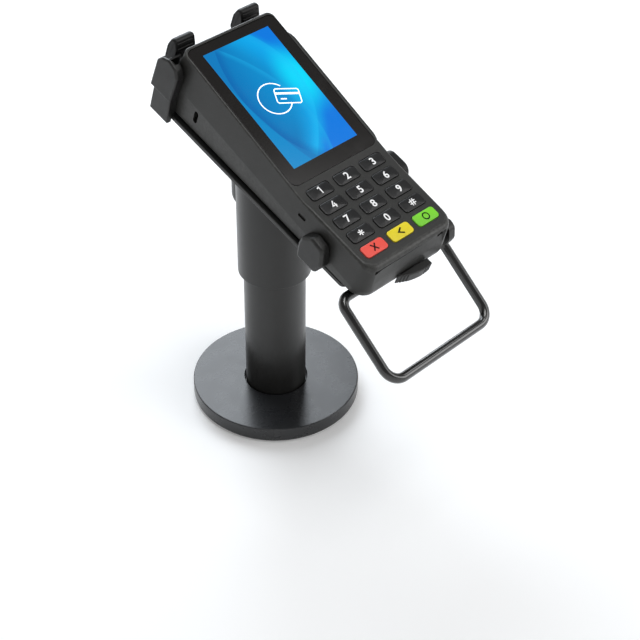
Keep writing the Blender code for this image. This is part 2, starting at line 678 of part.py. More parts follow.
def make_handle_clamps(tilt):
    """Saddles that hold the wire's ends under the plate, each with its screw from above."""
    low, high = 9.6 * MM, PLATE_UNDER - GAP
    x0, x1 = HANDLE_ROOT.x - 14 * MM, HANDLE_ROOT.x + 6.5 * MM
    y0, y1 = -95 * MM, -83 * MM
    screw_x, screw_y = CLAMP_SCREW
    for name, side in (("handle_clamp_left", -1), ("handle_clamp_right", 1)):
        span = sorted((side * x0, side * x1))
        clamp = piece(name, box(*span, y0, y1, low, high), "plate_steel", tilt)
        x = side * HANDLE_ROOT.x
        bore = helper(cylinder(x, HANDLE_ROOT.z, WIRE_RADIUS + 0.15 * MM, y0 - CUT, y1 + CUT, "y", 16), tilt)
        hole = helper(cylinder(side * screw_x, screw_y, SCREW_RADIUS + GAP, low - CUT, high + CUT), tilt)
        combine(clamp, "DIFFERENCE", bore, hole)
        top = PLATE_TOP + GAP + SCREW_HEAD_HEIGHT
        screw(name.replace("clamp", "screw"), side * screw_x, screw_y, top, 12 * MM, tilt)


# ---- terminal ----------------------------------------------------------------------------------


def screen_height(y):
    return SCREEN_CENTRE.z + (y - SCREEN_CENTRE.y) * math.tan(SCREEN_SLOPE)


def keypad_height(y):
    return KEYPAD_CENTRE.z - KEY_PROUD + (y - KEYPAD_CENTRE.y) * math.tan(KEYPAD_SLOPE)


def side_profile(inset=0.0, lid=0.0):
    """The case's outline seen from the side, or that of its hollow when inset is a wall's thickness."""
    front, rear = CASE_FRONT + inset, CASE_REAR - inset
    bottom = CASE_BOTTOM + (CASE_FLOOR if inset else 0)
    crease = keypad_height(CREASE) - lid
    return softened((
        (front, 29 * MM, 2 * MM), (front + 3.5 * MM, bottom, 2 * MM), (rear, bottom, 2 * MM),
        (rear - 1.2 * MM, screen_height(CASE_REAR) - lid, 2.5 * MM), (CREASE, crease, 20 * MM),
        (FRONT_RIM, keypad_height(FRONT_RIM) - lid, 4 * MM), (front + 1.2 * MM, 43.5 * MM, 3 * MM),
    ))


def plan_ring(inset, level, slope):
    outline = rounded(
        -CASE_HALF + inset, CASE_HALF - inset, CASE_FRONT + inset, CASE_REAR - inset,
        FRONT_CORNER - inset, REAR_CORNER - inset,
    )
    return [(x, y, level + slope * y) for x, y in outline]


def upper_block(inset):
    """Above the parting plane the sides lean in."""
    low, high = PARTING_HEIGHT + GAP / 2, PARTING_HEIGHT + 40 * MM
    if inset:
        low -= CUT
    drawn_in = inset + DRAFT * (high - low)
    return loft([plan_ring(inset, low, PARTING_SLOPE), plan_ring(drawn_in, high, PARTING_SLOPE)])


def lower_block(inset):
    rings = [plan_ring(inset, CASE_BOTTOM - CUT, 0), plan_ring(inset, PARTING_HEIGHT - GAP / 2, PARTING_SLOPE)]
    if inset:
        rings = [plan_ring(inset, CASE_BOTTOM + CASE_FLOOR, 0), plan_ring(inset, PARTING_HEIGHT + 20 * MM, 0)]
    return loft(rings)


def key_places():
    """(name, x, y) of each key in the keypad frame."""
    for row, names in enumerate(KEY_ROWS):
        for column, name in enumerate(names.split()):
            yield name, (column - 1) * KEY_PITCH_X, -row * KEY_PITCH_Y


def key_outline(x, y, grow):
    half_x, half_y = KEY_LENGTH / 2 + grow, KEY_WIDTH / 2 + grow
    return rounded(x - half_x, x + half_x, y - half_y, y + half_y, KEY_CORNER + max(grow, 0))


def make_upper_case(tilt, screen, keypad):
    case = piece("upper_case", upper_block(0), "case_plastic", tilt, smooth=True)
    profile = helper(prism(side_profile(), -0.1, 0.1, "x"), tilt)
    hollow = helper(upper_block(CASE_WALL), tilt)
    inner_profile = helper(prism(side_profile(CASE_WALL, CASE_LID), -0.1, 0.1, "x"), tilt)
    combine(hollow, "INTERSECT", inner_profile)
    pocket_outline = rounded(
        -GLASS_HALF - GAP, GLASS_HALF + GAP, GLASS_FRONT - GAP, GLASS_REAR + GAP, GLASS_CORNER + GAP
    )
    pocket = helper(prism(pocket_outline, -GLASS_THICKNESS - GAP, CUT), screen)
    half_x, half_y = PICTURE_WIDTH / 2 + 1 * MM, PICTURE_LENGTH / 2 + 1 * MM
    window = helper(box(-half_x, half_x, -half_y, half_y, -CUT, CUT), screen)
    posts = [helper(post_shape(x, y), tilt) for x, y in CASE_SCREWS]
    for post in posts:
        combine(post, "INTERSECT", helper(upper_block(0.3 * MM), tilt))
    pilots = [helper(cylinder(x, y, 1.5 * MM, 20 * MM, 36 * MM, segments=12), tilt) for x, y in CASE_SCREWS]
    rear, front = KEY_FIELD_REAR, KEY_FIELD_FRONT
    outline = rounded(-KEY_FIELD_HALF, KEY_FIELD_HALF, front, rear, 3 * MM)
    keypad_pocket = helper(prism(outline, -14 * MM, -KEY_PROUD - KEY_LID), keypad)
    key_holes = [helper(prism(key_outline(x, y, GAP), -8 * MM, CUT), keypad) for _, x, y in key_places()]
    combine(case, "INTERSECT", profile)
    combine(case, "UNION", helper(ridge_shape(), screen))
    combine(case, "DIFFERENCE", hollow, pocket, window)
    combine(case, "DIFFERENCE", keypad_pocket, *key_holes)
    combine(case, "DIFFERENCE", *front_cutters(tilt), side_slot(tilt))
    return case


def ridge_shape():
    """The raised strip along the right-hand side of the screen."""
    inner, outer, top = 36 * MM, RIDGE_OUTER, -0.9 * MM
    rings = []
    for drawn_in, height in ((0, -RIDGE_DEPTH), (0, top - 2 * MM), (0.8 * MM, top)):
        outline = [
            (inner, RIDGE_FRONT + 2 * drawn_in), (outer - 2.2 * MM, RIDGE_FRONT + 2 * drawn_in),
            (outer - drawn_in, RIDGE_FRONT + 5 * MM), (outer - drawn_in, RIDGE_REAR - 5 * MM),
            (outer - 2.4 * MM, RIDGE_REAR - drawn_in), (inner, RIDGE_REAR - drawn_in),
        ]
        rings.append([(x, y, height) for x, y in outline])
    return loft(rings)


def post_shape(x, y):
    return cylinder(x, y, 3.2 * MM, CASE_BOTTOM + CASE_FLOOR + GAP, 60 * MM, segments=12)


def front_cutters(tilt):
    """The card mouth: a shallow recess in the front face, with the slot in it."""
    outline = rounded(-MOUTH_HALF, MOUTH_HALF, MOUTH_BOTTOM, MOUTH_TOP, 2 * MM)
    recess = helper(prism(outline, CASE_FRONT - CUT, CASE_FRONT + MOUTH_DEPTH, "y"), tilt)
    slot = box(
        -SLOT_HALF, SLOT_HALF, CASE_FRONT - CUT, CASE_FRONT + 8 * MM,
        SLOT_HEIGHT - SLOT_GAP / 2, SLOT_HEIGHT + SLOT_GAP / 2,
    )
    return [recess, helper(slot, tilt)]


def side_slot(tilt):
    """A short slot in the left side, beside the keypad."""
    outline = rounded(-58.9 * MM, -53.5 * MM, 39 * MM, 40.6 * MM, 0.7 * MM)
    return helper(prism(outline, -CASE_HALF - CUT, -CASE_HALF + 1.8 * MM, "x"), tilt)


def make_lower_case(tilt):
    case = piece("lower_case", lower_block(0), "case_plastic", tilt, smooth=True)
    profile = helper(prism(side_profile(), -0.1, 0.1, "x"), tilt)
    hollow = helper(lower_block(CASE_WALL), tilt)
    inner_profile = helper(prism(side_profile(CASE_WALL, -20 * MM), -0.1, 0.1, "x"), tilt)
    combine(hollow, "INTERSECT", inner_profile)
    lock = rounded(41.6 * MM, 45.2 * MM, 30.6 * MM, 40.4 * MM, 1.7 * MM)
    lock_slot = helper(prism(lock, -CASE_HALF - CUT, -CASE_HALF + 5 * MM, "x"), tilt)
    low = CASE_BOTTOM - CUT
    holes = [helper(cylinder(x, y, 1.7 * MM, low, 32 * MM, segments=12), tilt) for x, y in CASE_SCREWS]
    bores = [helper(cylinder(x, y, 3 * MM, low, CASE_BOTTOM + 1.2 * MM, segments=12), tilt) for x, y in CASE_SCREWS]
    combine(case, "INTERSECT", profile)
    combine(case, "DIFFERENCE", hollow, lock_slot, *holes, *bores)
    combine(case, "DIFFERENCE", *front_cutters(tilt))


def make_screen(screen):
    outline = rounded(-GLASS_HALF, GLASS_HALF, GLASS_FRONT, GLASS_REAR, GLASS_CORNER)
    piece("display_glass", prism(outline, -GLASS_THICKNESS, 0), "screen_glass", screen)
    top = -CASE_LID - 2 * GAP
    half_x, half_y = PICTURE_WIDTH / 2 + 3 * MM, PICTURE_LENGTH / 2 + 3 * MM
    panel = box(-half_x, half_x, -half_y, half_y, top - PANEL_THICKNESS, top)
    piece("display_panel", panel, "screen_panel", screen)
    hole = helper(box(-half_x - GAP, half_x + GAP, -half_y - GAP, half_y + GAP, -0.1, 0.1), screen)
    outline = rounded(-34.5 * MM, 34.5 * MM, GLASS_FRONT + 6 * MM, GLASS_REAR - 2.5 * MM, 3 * MM)
    coil = piece("contactless_antenna", prism(outline, top - 0.8 * MM, top), "board", screen)
    combine(coil, "DIFFERENCE", hole)


def make_keys(keypad):
    """Each key has a cap through the case and a flange that keeps it in."""
    flange_top = -KEY_PROUD - KEY_LID - GAP
    for name, x, y in key_places():
        finish = LAST_ROW_FINISH.get(name, "key_black")
        rings = []
        for grow, level in ((0, flange_top), (0, -0.9 * MM), (-0.5 * MM, -0.15 * MM), (-1.1 * MM, 0)):
            rings.append([(u, v, level) for u, v in key_outline(0, 0, grow)])
        key = piece(f"key_{name}", loft(rings), finish, keypad, (x, y, 0), smooth=True)
        flange = prism(key_outline(0, 0, 0.8 * MM), flange_top - KEY_FLANGE, flange_top)
        combine(key, "UNION", helper(flange, keypad, (x, y, 0)))


def make_key_boards(keypad):
    flange_bottom = -KEY_PROUD - KEY_LID - GAP - KEY_FLANGE
    top = flange_bottom - KEY_TRAVEL - GAP
    side, end = 1 * MM, 0.5 * MM
    outline = rounded(
        side - KEY_FIELD_HALF, KEY_FIELD_HALF - side, KEY_FIELD_FRONT + end, KEY_FIELD_REAR - end, 3 * MM
    )
    piece("key_mat", prism(outline, top - MAT_THICKNESS, top), "soft_rubber", keypad)
    top -= MAT_THICKNESS + GAP
    piece("keypad_board", prism(outline, top - KEY_BOARD_THICKNESS, top), "board", keypad)


def make_card_reader(tilt):
    body = box(-READER_HALF, READER_HALF, READER_FRONT, READER_REAR, READER_BOTTOM, READER_TOP)
    reader = piece("card_reader", body, "key_black", tilt)
    throat = box(
        -SLOT_HALF, SLOT_HALF, READER_FRONT - CUT, READER_REAR - 3 * MM,
        SLOT_HEIGHT - SLOT_GAP / 2, SLOT_HEIGHT + SLOT_GAP / 2,
    )
    combine(reader, "DIFFERENCE", helper(throat, tilt))


def make_main_board(tilt):
    floor = CASE_BOTTOM + CASE_FLOOR
    board = rounded(-28 * MM, 28 * MM, -108 * MM, 58 * MM, 2 * MM)
    piece("main_board", prism(board, floor + 1.8 * MM, floor + 3.4 * MM), "board", tilt)


def make_case_screws(tilt):
    top = CASE_BOTTOM + 1.2 * MM - GAP / 2
    for i, (x, y) in enumerate(CASE_SCREWS):
        head = cylinder(x, y, 2.7 * MM, top - 0.9 * MM, top, segments=12)
        made = piece(f"case_screw_{i + 1}", head, "screw_steel", tilt, smooth=True)
        shank = cylinder(x, y, 1.2 * MM, top - 0.4 * MM, top + 8 * MM, segments=12)
        combine(made, "UNION", helper(shank, tilt))


def main():
    clear_scene()
    make_base()
    make_base_bolt()
    make_tube()
    make_bushes()
    swivel = frame("swivel_frame")
    make_sleeve(swivel)
    make_head(swivel)
    make_hood(swivel)
    make_washers(swivel)
    tilt = frame("tilt_frame", swivel, (0, 0, TILT_AXIS), (TILT, 0, 0))
    screen = frame("screen_frame", tilt, SCREEN_CENTRE, (SCREEN_SLOPE, 0, 0))
    keypad = frame("keypad_frame", tilt, KEYPAD_CENTRE, (KEYPAD_SLOPE, 0, 0))
    cheek_outer = make_bracket(tilt)
    make_axle(tilt, cheek_outer)
    make_plate(tilt)
    make_plate_screws(tilt)
    make_pads(tilt)
    make_corner_clips(tilt)
    make_cheek_clips(tilt)
    make_side_hook(tilt)
    make_rear_hooks(tilt)
    make_front_stop(tilt)
    make_handle(tilt)
    make_handle_clamps(tilt)
    make_upper_case(tilt, screen, keypad)
    make_lower_case(tilt)
    make_screen(screen)
    make_keys(keypad)
    make_key_boards(keypad)
    make_card_reader(tilt)
    make_main_board(tilt)
    make_case_screws(tilt)


main()
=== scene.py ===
import math

import bmesh
import bpy
from mathutils import Matrix, Vector


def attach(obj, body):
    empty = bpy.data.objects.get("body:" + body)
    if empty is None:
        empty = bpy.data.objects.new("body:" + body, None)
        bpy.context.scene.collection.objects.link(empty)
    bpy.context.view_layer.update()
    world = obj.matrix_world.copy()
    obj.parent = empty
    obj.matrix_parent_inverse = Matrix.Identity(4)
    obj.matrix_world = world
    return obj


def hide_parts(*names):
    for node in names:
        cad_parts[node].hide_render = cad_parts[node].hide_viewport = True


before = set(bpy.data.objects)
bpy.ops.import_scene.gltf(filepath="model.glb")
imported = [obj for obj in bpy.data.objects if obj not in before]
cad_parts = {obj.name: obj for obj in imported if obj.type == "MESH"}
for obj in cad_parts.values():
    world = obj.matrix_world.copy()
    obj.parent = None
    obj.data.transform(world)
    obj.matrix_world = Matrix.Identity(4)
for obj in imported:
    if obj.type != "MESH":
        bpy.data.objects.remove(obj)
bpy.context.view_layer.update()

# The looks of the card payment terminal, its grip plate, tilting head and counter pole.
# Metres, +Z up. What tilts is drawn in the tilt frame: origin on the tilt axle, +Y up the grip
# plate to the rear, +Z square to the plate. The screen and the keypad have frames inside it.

MM = 0.001


def mm(*values):
    """Lengths in metres from lengths in millimetres."""
    return tuple(value * MM for value in values)


BEYOND = 6 * MM  # how far a cutter runs past the face it cuts
SHARP = math.radians(28)  # edges that turn by more than this are eased
HOLDER = "terminal_holder"  # the body that tilts

# Stand
BASE_RADIUS, BASE_LOW, BASE_TOP, BASE_EDGE = mm(60, 1.8, 12.1, 0.9)
BASE_HOLE, BASE_BORE, BASE_SEAT, BORE_EDGE = mm(9, 22.6, 8, 0.4)
TUBE_RADIUS, TUBE_FOOT, TUBE_TOP, TUBE_INNER = mm(21.6, 8.3, 165.7, 19.6)
SLEEVE_RADIUS, SLEEVE_INNER, SLEEVE_BOTTOM, SLEEVE_TOP = mm(25.4, 23.5, 109.5, 184.5)
TUBE_EDGE = 0.3 * MM
HOOD_RADIUS, HOOD_CENTRE, HOOD_BOTTOM, HOOD_BEND, HOOD_TOP = mm(15.3, 19, 153, 164, 183.5)

# Grip plate
PLATE_UNDER, PLATE_TOP = mm(18.85, 21.85)
PLATE_OUTLINE = (
    (-40, -102, 3.5), (40, -102, 3.5), (40, -80, 2), (43, -77, 2), (43, 76.5, 6), (-43, 76.5, 6),
    (-43, -77, 2), (-40, -80, 2),
)
PLATE_SCREWS = (mm(-6, 9), mm(6, -9), mm(14.5, -89), mm(-14.5, -89))
PLATE_SCREW_RADIUS = 2.2 * MM
PLATE_SLOTS = (mm(30, 62), mm(-72, -40))
SLOT_MIDDLE, SLOT_HALF, SLOT_CORNER = 24 * MM, 2.2 * MM, 2.15 * MM

# Terminal case
CASE_HALF, CASE_FRONT, CASE_REAR = mm(41, -117, 73)
CASE_BOTTOM = 23.3 * MM  # a little under PAD_TOP, so that hardly any light shows between case and plate
PAD_TOP = 24.45 * MM
FRONT_CORNER, REAR_CORNER = mm(11, 8)
LEAN = 0.109  # how far the sides lean in above the crease, per height
DRAFT = 0.035  # and below it, towards the bottom
PAINTED_FLOOR_LIGHT = 0.5  # painted light: the lower half is painted paler, standing in for light from the floor, on the scale of the pale edges
CREASE_HEIGHT, CREASE_SLOPE = 38.7 * MM, 0.098
BEND = -51.4 * MM  # where the screen slope turns into the keypad slope
CASE_SCREWS = (mm(-31, 63), mm(31, 63), mm(-34.4, -66), mm(34.4, -66))
MOUTH_DEPTHS = ((-37, -0.4), (-33, 0.3), (-26, 1.1), (0, 1.3), (24, 1.5), (29, 2.2), (31, 2.0), (32.5, 0.0))
CARD_SLOTS = (mm(-33, 30, 11, 42.6, 45.3), mm(25.5, 31, 8, 40.6, 45.6))  # x0, x1, depth, z0, z1
SIDE_HOLES = (mm(-59.6, -53, 39.4, 41.9, 1, 1.8), mm(41.6, 45.2, 30.6, 40.4, 1.7, 5))  # y, z, corner, depth
RIDGE = (36, 41.6, 38.5, -57)  # inner, outer, rear and front edge in the screen's frame, in millimetres

# Screen and keypad
SCREEN_CENTRE, SCREEN_SLOPE = Vector(mm(0, 14.93, 61.02)), math.radians(9.125)
GLASS_HALF, GLASS_REAR, GLASS_FRONT, GLASS_CORNER = mm(37.2, 53.8, -57.5, 5)
GLASS_THICKNESS, GLASS_GAP = mm(1.4, 0.25)
PICTURE_HALF_X, PICTURE_HALF_Y = mm(28.1, 46.8)
KEYPAD_CENTRE, KEYPAD_SLOPE = Vector(mm(0, -51.6, 51.46)), math.radians(1.768)
KEY_ROWS = ("1 2 3", "4 5 6", "7 8 9", "star 0 hash", "cancel clear enter")
KEY_PITCH_X, KEY_PITCH_Y = mm(23.4, 12.54)
KEY_LENGTH, KEY_WIDTH, KEY_CORNER, KEY_PROUD = mm(18.8, 8.6, 2.2, 1.1)
LAST_ROW = {"cancel": "key_red", "clear": "key_yellow", "enter": "key_green"}
DIGIT_SIZE, INK = mm(7.4, 0.05)  # height of the digits, thickness of drawn marks
DRAWN_DIGITS = {
    "1": (((-1.3, 1.7), (0.25, 2.5), (0.25, -2.6)),),
    "4": (((0.7, 2.5), (-1.55, -1.0), (1.75, -1.0)), ((0.75, 0.7), (0.75, -2.6))),
}

# Grips
CLIP_OUTER, CLIP_TOUCH, CLIP_BESIDE = mm(48, 41.4, 43.4)
CORNER_SPLIT = 35.3 * MM
CORNER_LUG = mm(73.15, 75.2, 44, 60.9)  # y and z of the strip behind the case's corner
CLIP_LEAN, CLIP_DRAFT = 0.035, 0.055
HOOK_CENTRE, HOOK_HALF = mm(28.1, 8.2)
HATCH_HEIGHTS = (51.4, 53, 54.6, 56.2, 57.8, 59.4, 61, 62.6, 64.2, 65.8)
HOOK_PIVOT = mm(79.5, 60)
HOOK_GROOVES = ((77.45, 67.1, 0.65), (76.0, 64.2, 0.75))
SIDE_HOOK_MIDDLE, SIDE_HOOK_HALF = mm(-56, 11)
STOP_CENTRE, STOP_HALF, STOP_BACK = mm(4.9, 13.7, -117.4)
STOP_BOTTOM, STOP_TOP = mm(20.5, 28)

# Handle
WIRE_RADIUS = 3.32 * MM
HANDLE_CORNERS = (
    ((24, -80, 15), 0), ((24, -102.4, 15), 4), ((24, -107.3, 17.3), 3.6), ((46.6, -107.3, 17.3), 7),
    ((46.6, -164.2, -3.2), 10.5),
)

# Studio
SOFT_BOXES = (  # name, place, target, size, watts, tint
    ("rear_box", (0.56, 1.25, 1.2), (0, 0, 0.15), (1.3, 1.1), 26.0, (0.88, 0.94, 1.0)),
    ("front_right_box", (0.95, -1.22, 0.82), (0, 0, 0.2), (0.8, 0.8), 5.5, (1, 1, 1)),
    ("top_box", (0.05, -0.35, 1.75), (0, 0, 0.15), (0.8, 0.8), 8.0, (1, 1, 1)),
    ("glass_box", (0.86, -0.52, 1.45), (0, 0, 0.2), (0.35, 0.35), 1.3, (1, 1, 1)),
)
CAMERA_PLACE = Vector((-584.76, -614.817, 742.931)) * MM
CAMERA_ANGLES = (-45.708, 38.721, 0.633)  # azimuth, elevation and roll, in degrees
FOCAL_PIXELS, FRAME_PIXELS, SENSOR = 1531.173, 640, 36

TILT = Matrix.Translation((0, 0, 186 * MM)) @ Matrix.Rotation(math.radians(20.5), 4, "X")
SCREEN_IN_TILT = Matrix.Translation(SCREEN_CENTRE) @ Matrix.Rotation(SCREEN_SLOPE, 4, "X")
KEYPAD_IN_TILT = Matrix.Translation(KEYPAD_CENTRE) @ Matrix.Rotation(KEYPAD_SLOPE, 4, "X")
UPRIGHT = Matrix.Identity(4)


# ---- mesh tools ----


def spokes(first, last, count):
    """Turns one radius of an arc into another of the same length, in equal steps."""
    swing = first.angle(last)
    for step in range(count + 1):
        part = swing * step / count
        yield (first * math.sin(swing - part) + last * math.sin(part)) / math.sin(swing)


def softened(corners, steps=8):
    """An outline in metres from (u, v, radius) corners in millimetres, each rounded by its own arc."""
    points = []
    for i, (u, v, radius) in enumerate(corners):
        here = Vector((u, v)) * MM
        if not radius:
            points.append(tuple(here))
            continue
        before = (Vector(corners[i - 1][:2]) * MM - here).normalized()
        after = (Vector(corners[(i + 1) % len(corners)][:2]) * MM - here).normalized()
        half = before.angle(after) / 2
        reach = radius * MM / math.tan(half)
        centre = here + (before + after).normalized() * (radius * MM / math.sin(half))
        first, last = here + before * reach - centre, here + after * reach - centre
        points += [tuple(centre + spoke) for spoke in spokes(first, last, steps)]
    return points


def arc(cx, cy, radius, start, end, steps):
    turns = (math.radians(start + (end - start) * i / steps) for i in range(steps + 1))
    return [(cx + radius * math.cos(t), cy + radius * math.sin(t)) for t in turns]


def circle(cx, cy, radius, segments):
    return arc(cx, cy, radius, 0, 360, segments)[:-1]


def rounded(x0, x1, y0, y1, radius, steps=8):
    left, right, low, high = x0 + radius, x1 - radius, y0 + radius, y1 - radius
    corners = ((right, low, -90), (right, high, 0), (left, high, 90), (left, low, 180))
    return [point for x, y, start in corners for point in arc(x, y, radius, start, start + 90, steps)]


def loft(rings):
    """A closed bmesh through rings of equally many points, with flat ends."""
    made = bmesh.new()
    rows = [[made.verts.new(point) for point in ring] for ring in rings]
    for low, high in zip(rows, rows[1:]):
        for i in range(len(low)):
            j = (i + 1) % len(low)
            made.faces.new((low[i], low[j], high[j], high[i]))
    made.faces.new(rows[0])
    made.faces.new(rows[-1])
    return made


def prism(outline, low, high, axis="z"):
    """The outline's pairs run along the other two axes, in the order x, y, z."""
    at = "xyz".index(axis)
    return loft([[(*point[:at], level, *point[at:]) for point in outline] for level in (low, high)])


def block(x0, x1, y0, y1, z0, z1):
    return prism([(x0, y0), (x1, y0), (x1, y1), (x0, y1)], z0, z1)


def turned(profile):
    """Turns a closed (radius, height) profile about Z into a ring."""
    made = bmesh.new()
    rows, segments = [], 160
    for i in range(segments):
        turn = math.tau * i / segments
        rows.append([made.verts.new((r * math.cos(turn), r * math.sin(turn), z)) for r, z in profile])
    for i in range(segments):
        near, far = rows[i], rows[(i + 1) % segments]
        for j in range(len(profile)):
            k = (j + 1) % len(profile)
            made.faces.new((near[j], far[j], far[k], near[k]))
    return made


def moved(made, matrix):
    bmesh.ops.transform(made, matrix=matrix, verts=made.verts)
    return made


def edge_layer(made):
    return made.faces.layers.float.get("edge") or made.faces.layers.float.new("edge")


def eased(made, width, segments=3, chosen=None):
    """Rounds the sharp edges, and marks the new faces for paler edges: partly wear, partly painted highlight.
    """
    bmesh.ops.recalc_face_normals(made, faces=made.faces)
    edges = [
        e for e in made.edges
        if len(e.link_faces) == 2 and e.calc_face_angle(0) > SHARP and (not chosen or chosen(e))
    ]
    layer = edge_layer(made)
    new = bmesh.ops.bevel(
        made, geom=edges, offset=width, offset_type="OFFSET", segments=segments, profile=0.5,
        affect="EDGES", clamp_overlap=False,
    )
    for face in new["faces"]:
        face[layer] = 1.0
    return made


def placed(name, data):
    """A new object in the scene."""
    obj = bpy.data.objects.new(name, data)
    bpy.context.scene.collection.objects.link(obj)
    return obj


def as_object(name, made):
    bmesh.ops.recalc_face_normals(made, faces=made.faces)
    mesh = bpy.data.meshes.new(name)
    made.to_mesh(mesh)
    made.free()
    return placed(name, mesh)


def evaluated(obj):
    """The bmesh of a curve, a text or an object with modifiers."""
    mesh = bpy.data.meshes.new_from_object(obj.evaluated_get(bpy.context.evaluated_depsgraph_get()))
    made = bmesh.new()
    made.from_mesh(mesh)
    bpy.data.meshes.remove(mesh)
    return made


def combined(made, operation, *others):
    """The bmesh that exact Booleans make of a shape and others in the same frame."""
    edge_layer(made)
    obj = as_object("shape", made)
    helpers = []
    for other in others:
        edge_layer(other)
        helpers.append(as_object("helper", other))
        modifier = obj.modifiers.new(operation.lower(), "BOOLEAN")
        modifier.operation = operation
        modifier.solver = "EXACT"
        modifier.object = helpers[-1]
    result = evaluated(obj)
    for used in (obj, *helpers):
        mesh = used.data
        bpy.data.objects.remove(used)
        bpy.data.meshes.remove(mesh)
    return result


def show(name, made, finish, body, nodes=(), place=UPRIGHT, flat=35, keeps_axes=False):
    """Turns a bmesh into a finished piece that rides on a body and stands for CAD nodes."""
    obj = as_object(name, made)
    obj.data.shade_smooth()
    obj.data.set_sharp_from_angle(angle=math.radians(flat))
    obj.data.materials.append(FINISHES[finish])
    if keeps_axes:
        obj.matrix_world = place
    else:
        obj.data.transform(place)
    weighted = obj.modifiers.new("even_normals", "WEIGHTED_NORMAL")
    weighted.keep_sharp = True
    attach(obj, body)
    if nodes:
        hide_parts(*nodes)


# ---- materials ----


FINISHES = {}


class Recipe:
    """A node material, with short names for the nodes it is built from. It joins FINISHES."""

    def __init__(self, name, **sockets):
        self.material = FINISHES[name] = bpy.data.materials.new(name)
        self.material.use_nodes = True
        self.tree = self.material.node_tree
        self.shader = self.tree.nodes["Principled BSDF"]
        self.place = self.new("ShaderNodeTexCoord").outputs["Object"]
        self.fill(self.shader, **sockets)

    def new(self, kind, **settings):
        node = self.tree.nodes.new(kind)
        for key, value in settings.items():
            setattr(node, key, value)
        return node

    def set(self, socket, value):
        if isinstance(value, bpy.types.NodeSocket):
            self.tree.links.new(value, socket)
        else:
            socket.default_value = value

    def fill(self, node, **sockets):
        for name, value in sockets.items():
            self.set(node.inputs[name.replace("_", " ")], value)

    def math(self, operation, a, b=0.0):
        node = self.new("ShaderNodeMath", operation=operation)
        for socket, value in zip(node.inputs, (a, b)):
            self.set(socket, value)
        return node.outputs[0]

    def times(self, a, b):
        return self.math("MULTIPLY", a, b)

    def away(self, a, b):
        """Distance from the origin of a and b."""
        return self.math("SQRT", self.math("ADD", self.times(a, a), self.times(b, b)))

    def split(self):
        node = self.new("ShaderNodeSeparateXYZ")
        self.set(node.inputs[0], self.place)
        return node.outputs[0], node.outputs[1]

    def stretched(self, scale):
        node = self.new("ShaderNodeMapping")
        self.fill(node, Vector=self.place, Scale=scale)
        return node.outputs[0]

    def noise(self, scale, detail, rough, place=None):
        node = self.new("ShaderNodeTexNoise")
        self.fill(node, Vector=place or self.place, Scale=scale, Detail=detail, Roughness=rough)
        return node.outputs["Fac"]

    def cells(self, scale):
        node = self.new("ShaderNodeTexVoronoi", feature="DISTANCE_TO_EDGE")
        self.fill(node, Vector=self.place, Scale=scale)
        return node.outputs["Distance"]

    def remap(self, value, low, high, to_low=0.0, to_high=1.0, smooth=False):
        node = self.new("ShaderNodeMapRange", interpolation_type="SMOOTHSTEP" if smooth else "LINEAR")
        for socket, given in zip(node.inputs, (value, low, high, to_low, to_high)):
            self.set(socket, given)
        return node.outputs[0]

    def mix(self, factor, a, b):
        node = self.new("ShaderNodeMix", data_type="RGBA")
        self.set(node.inputs[0], factor)
        for socket, value in ((node.inputs[6], a), (node.inputs[7], b)):
            self.set(socket, (*value, 1.0) if isinstance(value, tuple) and len(value) == 3 else value)
        return node.outputs[2]

    def over(self, base, mask, share, colour):
        """Lays up to that share of a colour over the base, by a mask."""
        return self.mix(self.times(mask, share), base, colour)

    def edge(self):
        """1 on rounded edges, broken up by patchy noise: paler edges that are partly wear, partly painted
        highlight; the case's lower half also carries painted floor light here.
        """
        wear_and_painted_light = self.new("ShaderNodeAttribute", attribute_name="edge").outputs["Fac"]
        patchy = self.remap(self.noise(420, 4, 0.65), 0.38, 0.66)
        return self.times(wear_and_painted_light, patchy)

    def bump(self, height, depth, below=None):
        node = self.new("ShaderNodeBump")
        self.fill(node, Distance=depth, Height=height)
        if below is not None:
            self.fill(node, Normal=below)
        return node.outputs["Normal"]

    def finish(self, colour, roughness, normal):
        self.fill(self.shader, Base_Color=colour, Roughness=roughness, Normal=normal)


def lighter(colour, by):
    return tuple(min(1.0, c * by) for c in colour)


def moulded(name, colour, roughness, grain=1900, depth=0.02 * MM, wear_and_painted_light=2.4, mottle=0.16, **sockets):
    """Moulded plastic or rubber: spark-eroded grain, faint mottling, and paler edges that are partly handling
    wear, partly painted highlight.
    """
    r = Recipe(name, **sockets)
    cloud = r.noise(38, 4, 0.6)
    base = r.mix(r.remap(cloud, 0.3, 0.7), lighter(colour, 1 - mottle), lighter(colour, 1 + mottle))
    specks = r.remap(r.noise(2600, 2, 0.5), 0.62, 0.72)
    base = r.over(base, specks, 0.22, lighter(colour, 1.9))
    # paler rounded edges: partly wear, partly painted highlight
    base = r.over(base, r.edge(), 0.75, lighter(colour, wear_and_painted_light))
    smudge = r.noise(95, 5, 0.65)
    rough = r.remap(smudge, 0.25, 0.75, roughness - 0.06, roughness + 0.07)
    rough = r.math("SUBTRACT", rough, r.times(r.edge(), 0.06))
    fine = r.bump(r.noise(grain, 3, 0.6), depth)
    r.finish(base, rough, r.bump(r.cells(grain * 0.55), depth * 0.6, fine))


